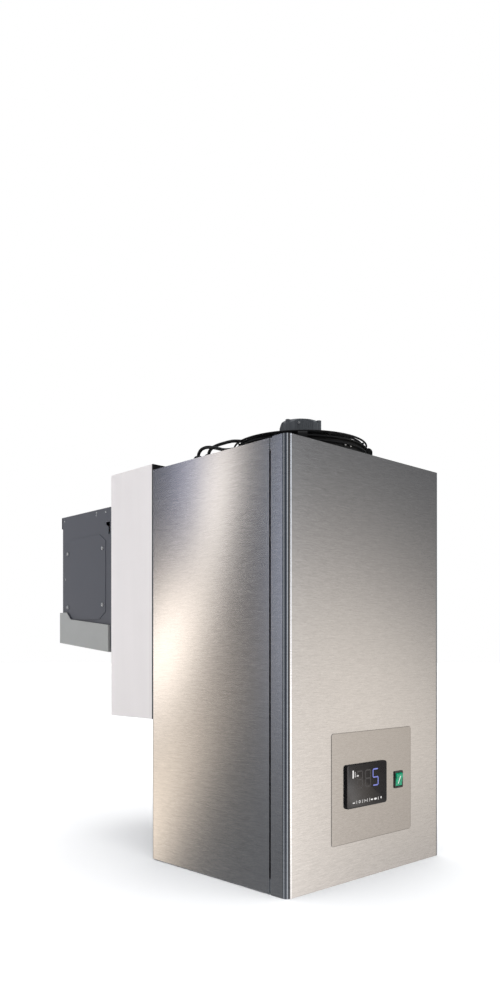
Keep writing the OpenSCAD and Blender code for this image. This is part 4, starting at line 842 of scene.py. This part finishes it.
class MONOBLOCK_OT_leads(bpy.types.Operator):
    """Make the two black leads as smooth curves"""
    bl_idname = "monoblock.leads"
    bl_label = "Leads"

    def execute(self, context):
        radius = context.scene.monoblock_sizes.lead_r
        sheath = rubber_compound("black_pvc_sheath", context.scene.monoblock_colours.rubber, 0.4)
        for name, node, route in (("smooth_fan_lead", "fan_lead", FAN_ROUTE),
                                  ("smooth_link_lead", "link_lead", LINK_ROUTE)):
            curve = bpy.data.curves.new(name, "CURVE")
            curve.dimensions = "3D"
            curve.bevel_depth = radius
            curve.bevel_resolution = 5
            curve.resolution_u = 8
            curve.use_fill_caps = True
            spline = curve.splines.new("BEZIER")
            spline.bezier_points.add(len(route) - 1)
            for point, (x, y, z) in zip(spline.bezier_points, route):
                point.co = (x * MM, FRONT_Y + y * MM, z * MM)
                point.handle_left_type = point.handle_right_type = "AUTO"
            curve.materials.append(sheath)
            lead = bpy.data.objects.new(name, curve)
            context.scene.collection.objects.link(lead)
            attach(lead, "unit")
            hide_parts(node)
        return {"FINISHED"}


class MONOBLOCK_OT_screws(bpy.types.Operator):
    """Make the pan-head screws of the access covers, the fan legs and the back panel"""
    bl_idname = "monoblock.screws"
    bl_label = "Screws"

    def execute(self, context):
        s = context.scene.monoblock_sizes
        self.add_cover_screws(s)
        self.add_leg_screws(s)
        self.add_back_screws(s)
        return {"FINISHED"}

    def add_cover_screws(self, s):
        low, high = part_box("access_cover_screws")
        bm = bmesh.new()
        for side, across in ((-1, (0, -1, 0)), (1, (0, 1, 0))):
            face = side * (high.x - s.screw_h)
            for y in (low.y + s.screw_r, high.y - s.screw_r):
                for z in (low.z + s.screw_r, high.z - s.screw_r):
                    add_pan_head(bm, seat((face, y, z), across, (0, 0, 1)), s.screw_r, s.screw_h)
        heads = finish_piece(bm, "cover_screw_heads", "zinc", "unit")
        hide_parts("access_cover_screws")

    def add_leg_screws(self, s):
        low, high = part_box("guard_screws")
        centre = (low + high) / 2
        reach = (high.x - low.x) / 2 - s.screw_r
        bm = bmesh.new()
        for sx in (-1, 1):
            for sy in (-1, 1):
                place = (centre.x + sx * reach, centre.y + sy * reach, high.z - s.screw_h)
                add_pan_head(bm, seat(place, (1, 0, 0), (0, 1, 0)), s.screw_r, s.screw_h)
        heads = finish_piece(bm, "leg_screw_heads", "zinc", "unit")
        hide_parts("guard_screws")

    def add_back_screws(self, s):
        low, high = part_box("back_screws")
        r = s.back_screw_r
        bm = bmesh.new()
        for x in (low.x + r, high.x - r):
            for z in (low.z + r, high.z - r):
                place = (x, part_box("back_panel")[1].y, z)
                add_pan_head(bm, seat(place, (-1, 0, 0), (0, 0, 1)), r, high.y - place[1])
        heads = finish_piece(bm, "back_screw_heads", "zinc", "unit")
        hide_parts("back_screws")


class MONOBLOCK_OT_rivets(bpy.types.Operator):
    """Make the blind rivets of the evaporator casing and of the fan ring's lap seam"""
    bl_idname = "monoblock.rivets"
    bl_label = "Rivets"

    # Places on the casing's side, in millimetres behind the front cover's plane and above the floor
    casing_places = ((543, 686), (578, 689), (578, 683), (707, 686), (703, 555))
    # Two rivets on the ring: directions in degrees, height, and how far inside the guard's edge
    ring_turns, ring_z, ring_in = (-96, -89.5), 765 * MM, 3.6 * MM
    # A blind rivet's head with its mandrel's hole: shares of its radius and of its height
    head = ((1, 0), (1, 0.25), (0.8, 0.7), (0.45, 1), (0.3, 1), (0.25, 0.6))

    def execute(self, context):
        s = context.scene.monoblock_sizes
        profile = [(r * s.rivet_r, h * s.rivet_h) for r, h in self.head]
        bm = bmesh.new()
        casing_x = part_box("evaporator_top")[1].x
        for side in (-1, 1):
            for y, z in self.casing_places:
                place = (side * casing_x, FRONT_Y + y * MM, z * MM)
                add_turned(bm, seat(place, (0, side, 0), (0, 0, 1)), profile, 16)
        finish_piece(bm, "casing_rivets", "zinc", "unit")
        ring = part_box("fan_guard")[1].x - self.ring_in
        bm = bmesh.new()
        for turn in self.ring_turns:
            add_turned(bm, fan_seat(turn, ring, self.ring_z), profile, 16)
        finish_piece(bm, "ring_rivets", "zinc", "unit")
        return {"FINISHED"}


class MONOBLOCK_OT_glands(bpy.types.Operator):
    """Make the two cable glands: a hexagon body under a ribbed dome nut"""
    bl_idname = "monoblock.glands"
    bl_label = "Cable glands"

    # Profiles of the body and the dome nut: radius and height above the top panel in millimetres
    hexagon = ((11, 0), (11.5, 0.5), (11.5, 5.5), (10.6, 6))
    dome = ((9, 6), (9, 13.5), (8.6, 15.5), (7.4, 17.4), (5.4, 18.8), (3.3, 19))
    # Grooves round the nut's straight part, each with two points in and two points out
    grooves, groove_depth, straight_r = 18, 0.35, 8

    def execute(self, context):
        bm = bmesh.new()
        for route in (LINK_ROUTE, FAN_ROUTE):
            x, y, _ = route[0]
            place = seat((x * MM, FRONT_Y + y * MM, TOP_Z), (1, 0, 0), (0, 1, 0))
            add_turned(bm, place, [(r * MM, h * MM) for r, h in self.hexagon], 6)
            steps = 4 * self.grooves
            sections = []
            for radius, height in self.dome:
                ring = []
                for i in range(steps):
                    angle = 2 * math.pi * i / steps
                    inner = i % 4 < 2 and radius > self.straight_r
                    r = (radius - (self.groove_depth if inner else 0)) * MM
                    ring.append(place @ Vector((
                        r * math.cos(angle), r * math.sin(angle), height * MM)))
                sections.append(ring)
            add_sections(bm, sections)
        glands = finish_piece(bm, "gland_nuts", "black_plastic", "unit")
        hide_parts("cable_glands")
        return {"FINISHED"}


class MONOBLOCK_OT_access_covers(bpy.types.Operator):
    """Make the two access covers with their bevelled edges"""
    bl_idname = "monoblock.access_covers"
    bl_label = "Access covers"

    # Width and height of the cut corners, and how much a cut shrinks as the outline is drawn in
    cut_w, cut_h, cut_share = 22 * MM, 15 * MM, 0.4

    def execute(self, context):
        bevel = context.scene.monoblock_sizes.cover_bevel
        for name, node, side in (("left_cover_plate", "left_access_cover", -1),
                                 ("right_cover_plate", "right_access_cover", 1)):
            low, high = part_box(node)
            middle = (low + high) / 2
            half_w, half_h = (high.y - low.y) / 2, (high.z - low.z) / 2
            inner = low.x if side > 0 else high.x
            place = seat((inner, middle.y, middle.z), (0, side, 0), (0, 0, 1))
            bm = bmesh.new()
            add_plate(bm, place, lambda length: self.octagon(half_w, half_h, length),
                      high.x - low.x, bevel)
            cover = finish_piece(bm, name, "dark_grey_steel", "unit", sharp=20)
            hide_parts(node)
        return {"FINISHED"}

    def octagon(self, half_w, half_h, length):
        """A rectangle with cut corners, drawn in by a length."""
        w, h = half_w - length, half_h - length
        cw, ch = (cut - self.cut_share * length for cut in (self.cut_w, self.cut_h))
        return [(w, ch - h), (w, h - ch), (w - cw, h), (cw - w, h), (-w, h - ch),
                (-w, ch - h), (cw - w, -h), (w - cw, -h)]


class MONOBLOCK_OT_motor_screw(bpy.types.Operator):
    """Put the small bright screw into the condenser fan motor's shoulder"""
    bl_idname = "monoblock.motor_screw"
    bl_label = "Motor screw"

    # Direction in degrees, distance from the axis, depth below the crown, and the head's size
    turn, shoulder_r, drop = -140, 40 * MM, 9 * MM
    head_r, head_h = 2.2 * MM, 1.4 * MM

    def execute(self, context):
        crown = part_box("fan_motor")[1].z
        bm = bmesh.new()
        add_pan_head(bm, fan_seat(self.turn, self.shoulder_r, crown - self.drop),
                     self.head_r, self.head_h)
        finish_piece(bm, "motor_screw_head", "zinc", "unit")
        return {"FINISHED"}


OPERATORS = (
    MONOBLOCK_OT_stage, MONOBLOCK_OT_finishes, MONOBLOCK_OT_controller, MONOBLOCK_OT_rocker,
    MONOBLOCK_OT_leads, MONOBLOCK_OT_glands, MONOBLOCK_OT_screws, MONOBLOCK_OT_rivets,
    MONOBLOCK_OT_access_covers, MONOBLOCK_OT_motor_screw,
)


class MONOBLOCK_PT_sidebar(bpy.types.Panel):
    """The unit's groups of pieces, in the order in which they are made"""
    bl_idname = "MONOBLOCK_PT_sidebar"
    bl_label = "Monoblock"
    bl_space_type = "VIEW_3D"
    bl_region_type = "UI"
    bl_category = "Monoblock"

    def draw(self, context):
        for settings in (context.scene.monoblock_studio, context.scene.monoblock_colours,
                         context.scene.monoblock_sizes):
            box = self.layout.box()
            for name in settings.bl_rna.properties.keys():
                if name not in ("rna_type", "name"):
                    box.prop(settings, name)
        for operator in OPERATORS:
            self.layout.operator(operator.bl_idname)


GROUPS = {
    "monoblock_studio": StudioSettings,
    "monoblock_colours": UnitColours,
    "monoblock_sizes": UnitSizes,
}


def register():
    for item in (*GROUPS.values(), *OPERATORS, MONOBLOCK_PT_sidebar):
        bpy.utils.register_class(item)
    for name, group in GROUPS.items():
        setattr(bpy.types.Scene, name, bpy.props.PointerProperty(type=group))


def unregister():
    for name in GROUPS:
        delattr(bpy.types.Scene, name)
    for item in (MONOBLOCK_PT_sidebar, *OPERATORS, *GROUPS.values()):
        bpy.utils.unregister_class(item)


def main():
    register()
    for operator in OPERATORS:
        group, name = operator.bl_idname.split(".")
        getattr(getattr(bpy.ops, group), name)()


if __name__ == "__main__":
    main()
